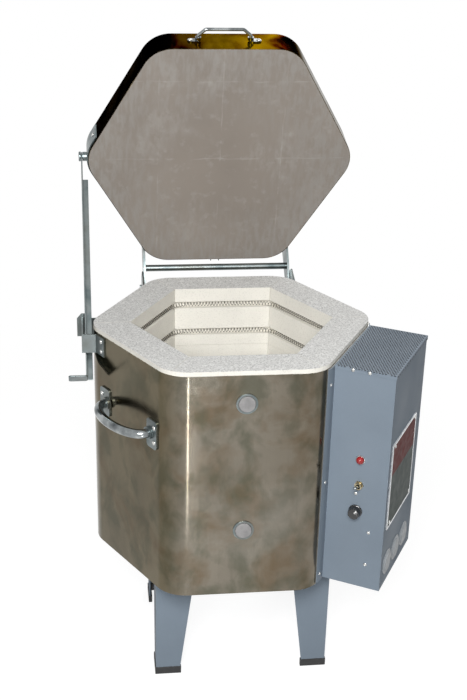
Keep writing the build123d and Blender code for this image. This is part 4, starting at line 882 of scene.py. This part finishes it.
class KILN_OT_jacket(bpy.types.Operator):
    """Stainless jacket, its seam strip, the eyelets and the pan"""

    bl_idname = "kiln.jacket"
    bl_label = "Jacket"

    def execute(self, context):
        softened("jacket", 0.3 * MM, "stainless", segments=1, angle=60)
        softened("jacket_seam_strip", 0.35 * MM, "stainless", segments=2)
        softened("peephole_eyelets", 0.5 * MM, "zinc")
        finish_node("base_pan", "galvanised")
        for node in ("peephole_plug_upper", "peephole_plug_lower"):
            finish_node(node, "ceramic_plug")
        return {"FINISHED"}


class KILN_OT_lid(bpy.types.Operator):
    """Lid band, its clamp and the lid's bail"""

    bl_idname = "kiln.lid"
    bl_label = "Lid"

    def execute(self, context):
        softened("lid_band", 0.35 * MM, "polished_band", segments=2, angle=60)
        softened("lid_band_clamp", 0.4 * MM, "zinc")
        finish_node("lid_handle", "chrome")
        return {"FINISHED"}


class KILN_OT_legs(bpy.types.Operator):
    """Legs and their caps"""

    bl_idname = "kiln.legs"
    bl_label = "Legs"

    def execute(self, context):
        for place in ("front_left", "front_right", "rear_left", "rear_right"):
            softened("leg_" + place, sizes().edge, "paint")
            softened("foot_cap_" + place, 1.0 * MM, "black_plastic", segments=3)
        softened("leg_bolts", 0.4 * MM, "screw_zinc")
        return {"FINISHED"}


class KILN_OT_handles(bpy.types.Operator):
    """Lifting handles"""

    bl_idname = "kiln.handles"
    bl_label = "Lifting handles"

    def execute(self, context):
        for side in ("left", "right"):
            finish_node("body_handle_" + side, "chrome")
        softened("handle_brackets", 0.7 * MM, "zinc", segments=3)
        return {"FINISHED"}


class KILN_OT_hinge(bpy.types.Operator):
    """Hinge arms, ears, rod and pins, and the lid prop"""

    bl_idname = "kiln.hinge"
    bl_label = "Hinge and prop"

    def execute(self, context):
        for node in ("hinge_arm_left", "hinge_arm_right", "hinge_ear_left", "hinge_ear_right", "prop_strap",
                     "prop_bar", "prop_guide", "prop_pin", "hinge_pins", "hinge_cross_rod"):
            softened(node, 0.45 * MM, "zinc")
        return {"FINISHED"}


class KILN_OT_box(bpy.types.Operator):
    """Cover of the control box and its perforated top"""

    bl_idname = "kiln.box"
    bl_label = "Control box"

    def execute(self, context):
        softened("box_cover", sizes().edge, "paint")
        self.grille(context)
        return {"FINISHED"}

    def grille(self, context):
        """The folded top sheet, with a staggered field of holes and a row in its outer lip."""
        node = "box_top_grille"
        fine = sizes()
        near, far = span(node, OUT)
        start, stop = span(node, ALONG)
        low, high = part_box(node)
        pitch = fine.hole_pitch
        margin_out, margin_back, lip_end, lip_drop = 4.0 * MM, 3.0 * MM, 9.0 * MM, 0.6 * MM
        places = []
        row = 0
        along = start
        while along < stop:
            out = far - margin_out - (pitch / 2 if row % 2 else 0)
            while out > near + margin_back:
                if out > self.body_edge(along) + margin_back:
                    places.append((AXIS + OUT * out + ALONG * along + UP * high.z, UP))
                out -= pitch
            along += pitch * sin(pi / 3)
            row += 1
        lip = (high.z + low.z) / 2 - lip_drop
        along = start + lip_end
        while along < stop - lip_end:
            places.append((AXIS + OUT * far + ALONG * along + UP * lip, OUT))
            along += 2 * pitch
        points = point_cloud("grille_points", places)
        carrier = add_object("grille_sheet", as_mesh("grille_sheet", welded(node)))
        mesh = grown(carrier, perforation_tree(),
                     {"Places": points, "Hole radius": fine.hole_radius, "Sides": 8, "Reach": 4 * MM,
                      "Material": finish("paint")}, "grille")
        bpy.data.objects.remove(points)
        mesh.materials.clear()
        # Small faces across the sheet, the hole walls, get the near-black painted shade.
        for polygon in mesh.polygons:
            across = max(abs(polygon.normal.dot(way)) for way in (UP, OUT, ALONG))
            polygon.material_index = 1 if across < 0.997 and polygon.area < 8e-6 else 0
        stand_for(add_object("grille", mesh, "paint", "painted_hole_shade"), node)

    def body_edge(self, along):
        """How far out the kiln's jacket reaches at a place along the box."""
        return JACKET_APOTHEM - max(0, abs(along) - 93 * MM) * 0.4


class KILN_OT_plate(bpy.types.Operator):
    """Bare rating plate and the blanking plugs"""

    bl_idname = "kiln.plate"
    bl_label = "Rating plate"

    def execute(self, context):
        node = "rating_plate"
        near, far = span(node, OUT)
        start, stop = span(node, ALONG)
        low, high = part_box(node)
        middle = AXIS + ALONG * ((start + stop) / 2) + UP * ((low.z + high.z) / 2)
        width, height = stop - start, high.z - low.z
        sheet, rim, film, rounding = 1.5 * MM, 3.0 * MM, 0.25 * MM, 0.3 * MM
        bm = bmesh.new()

        def block(shift, base, size, *how):
            slab(bm, plane_at(middle + shift + OUT * (near + base + size[2] / 2), OUT), size, *how)

        block(Vector(), 0, (width, height, sheet), 0, rounding)
        upper = height * 0.36
        lower = height - 2 * rim - upper
        block(UP * (height / 2 - rim - upper / 2), sheet, (width - 2 * rim, upper, film), 1)
        block(UP * -(height / 2 - rim - lower / 2), sheet, (width - 2 * rim, lower, film), 2)
        proud = far - near - sheet
        for sign in (-1, 1):
            block(UP * sign * (height - rim) / 2, sheet, (width, rim, proud), 0, rounding)
            block(ALONG * sign * (width - rim) / 2, sheet, (rim, height - 2 * rim, proud), 0, rounding)
        stand_for(from_bmesh("rating_plate_bare", bm, "plate_edge", "plate_upper", "plate_lower", smooth=False),
                  node)
        softened("hole_plugs", 0.5 * MM, "grey_plastic", segments=3)
        return {"FINISHED"}


class KILN_OT_controls(bpy.types.Operator):
    """Pilot lamp, toggle switch and selector knob"""

    bl_idname = "kiln.controls"
    bl_label = "Controls"

    def execute(self, context):
        self.lamp()
        softened("toggle_switch", 0.3 * MM, "brass")
        finish_node("toggle_lever", "chrome")
        self.knob()
        finish_node("switch_shaft", "screw_zinc")
        return {"FINISHED"}

    def centre(self, node, along):
        """A matrix in the middle of a node at a place along the box, looking out of the panel."""
        low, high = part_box(node)
        middle = AXIS + OUT * (sum(span(node, OUT)) / 2) + ALONG * along + UP * ((low.z + high.z) / 2)
        return plane_at(middle, -ALONG)

    def lamp(self):
        """Red dome in a chromed bezel."""
        panel = span("box_top_grille", ALONG)[0] + 1.2 * MM
        matrix = self.centre("pilot_lamp", panel)
        bezel = [(0, -28), (7.4, -28), (7.4, 0), (8.6, 0), (8.6, 1.4), (8.0, 2.0), (7.3, 2.0), (7.1, 1.4), (0, 1.4)]
        dome = [(6.9 * cos(a), 2.7 + 6.2 * sin(a)) for a in [i * pi / 20 for i in range(10)]]
        bm = bmesh.new()
        for material, profile in enumerate((bezel, [(0, 1.45), (6.9, 1.45)] + dome + [(0, 8.9)])):
            lathe(bm, [(radius * MM, height * MM) for radius, height in profile], matrix, 40, material)
        piece = from_bmesh("pilot_lamp_lens", bm, "chrome", "red_glass")
        mark_sharp(piece, 35)
        stand_for(piece, "pilot_lamp")

    def knob(self):
        """Fluted black knob with a white pointer."""
        front, back = span("knob", ALONG)
        matrix = self.centre("knob", back)
        depth = (back - front) / MM - 0.8
        flutes = sizes().knob_flutes
        profile = [(7.0, 0.2, 0), (11.6, 0, 0), (12.0, 0.5, 0), (11.9, 2.2, 0), (10.9, 2.9, 0), (10.5, 3.6, 0.5),
                   (10.2, depth - 1.4, 0.5), (9.6, depth - 0.4, 0.2), (8.8, depth, 0), (0, depth - 0.3, 0)]
        bm = bmesh.new()
        rings = lathe(bm, [[value * MM for value in point] for point in profile], matrix, flutes * 4, 0, flutes)
        bm.faces.new(list(reversed(rings[0])))
        pointer = Matrix.Rotation(radians(-37), 4, "Z") @ Matrix.Translation((0, 6.0 * MM, (depth + 0.1) * MM))
        slab(bm, matrix @ pointer, (2.2 * MM, 6.0 * MM, 1.0 * MM), 1, 0.2 * MM)
        piece = from_bmesh("knob_fluted", bm, "knob_black", "pointer_white")
        mark_sharp(piece, 40)
        stand_for(piece, "knob")


class KILN_OT_screws(bpy.types.Operator):
    """Cross-headed screws in the jacket, lid band and control box"""

    bl_idname = "kiln.screws"
    bl_label = "Screws"

    def execute(self, context):
        tree = fastener_tree()
        head = self.head()
        for node in ("jacket_screws", "lid_screws", "box_screws"):
            groups = {}
            for place, axis, radius in fastener_places(node):
                groups.setdefault(round(radius * 10000), []).append((place, axis))
            for size, places in groups.items():
                points = point_cloud(node + "_points", places)
                mesh = grown(points, tree, {"Head": head, "Size": size / 10000 / (4 * MM), "Spin seed": 3,
                                            "Material": finish("screw_zinc")}, node + "_heads")
                piece = add_object(node + "_heads", mesh)
                mark_sharp(piece, 40)
                stand_for(piece, node)
        bpy.data.objects.remove(head)
        return {"FINISHED"}

    def head(self):
        """A low domed head 8 mm across with a cross recess, and the start of its shank."""
        reach, rise, skirt, shank = 4 * MM, 2.3 * MM, 0.35 * MM, 2.0 * MM
        profile = [(0, -1.0 * MM), (shank, -1.0 * MM), (shank, 0), (reach * 0.98, 0)]
        profile += [(reach * cos(a), skirt + (rise - skirt) * sin(a)) for a in [i * pi / 10 for i in range(5)]]
        bm = bmesh.new()
        lathe(bm, profile + [(0, rise)], Matrix.Identity(4), 20)
        body = from_bmesh("screw_head", bm)
        cutters = []
        for size in ((3.8 * MM, 0.75 * MM, 2.4 * MM), (0.75 * MM, 3.8 * MM, 2.4 * MM)):
            bm = bmesh.new()
            slab(bm, Matrix.Translation((0, 0, rise)), size)
            cutters.append(from_bmesh("recess", bm, smooth=False))
            cut = body.modifiers.new("recess", "BOOLEAN")
            cut.operation = "DIFFERENCE"
            cut.object = cutters[-1]
            cut.solver = "EXACT"
        graph = bpy.context.evaluated_depsgraph_get()
        mesh = bpy.data.meshes.new_from_object(body.evaluated_get(graph))
        body.modifiers.clear()
        body.data = mesh
        for cutter in cutters:
            bpy.data.objects.remove(cutter)
        return body


class KILN_PT_panel(bpy.types.Panel):
    """Lists the kiln's steps and sizes"""

    bl_idname = "KILN_PT_panel"
    bl_label = "Test kiln"
    bl_space_type = "VIEW_3D"
    bl_region_type = "UI"
    bl_category = "Kiln"

    def draw(self, context):
        layout = self.layout
        for group in (context.scene.kiln_colours, context.scene.kiln_sizes, context.scene.kiln_stage):
            box = layout.box()
            for name in group.__annotations__:
                box.prop(group, name)
        for operator in OPERATORS:
            layout.operator(operator.bl_idname)


OPERATORS = (KILN_OT_stage, KILN_OT_bricks, KILN_OT_coils, KILN_OT_terminals, KILN_OT_jacket, KILN_OT_lid,
             KILN_OT_legs, KILN_OT_handles, KILN_OT_hinge, KILN_OT_box, KILN_OT_plate, KILN_OT_controls,
             KILN_OT_screws)
CLASSES = (KilnColours, KilnSizes, KilnStage) + OPERATORS + (KILN_PT_panel,)


def register():
    """Adds the classes and the scene's settings."""
    for cls in CLASSES:
        bpy.utils.register_class(cls)
    bpy.types.Scene.kiln_colours = PointerProperty(type=KilnColours)
    bpy.types.Scene.kiln_sizes = PointerProperty(type=KilnSizes)
    bpy.types.Scene.kiln_stage = PointerProperty(type=KilnStage)


def unregister():
    """Removes them again."""
    del bpy.types.Scene.kiln_colours
    del bpy.types.Scene.kiln_sizes
    del bpy.types.Scene.kiln_stage
    for cls in reversed(CLASSES):
        bpy.utils.unregister_class(cls)


def main():
    """Builds the whole picture."""
    register()
    for operator in OPERATORS:
        group, name = operator.bl_idname.split(".")
        getattr(getattr(bpy.ops, group), name)()


if __name__ == "__main__":
    main()
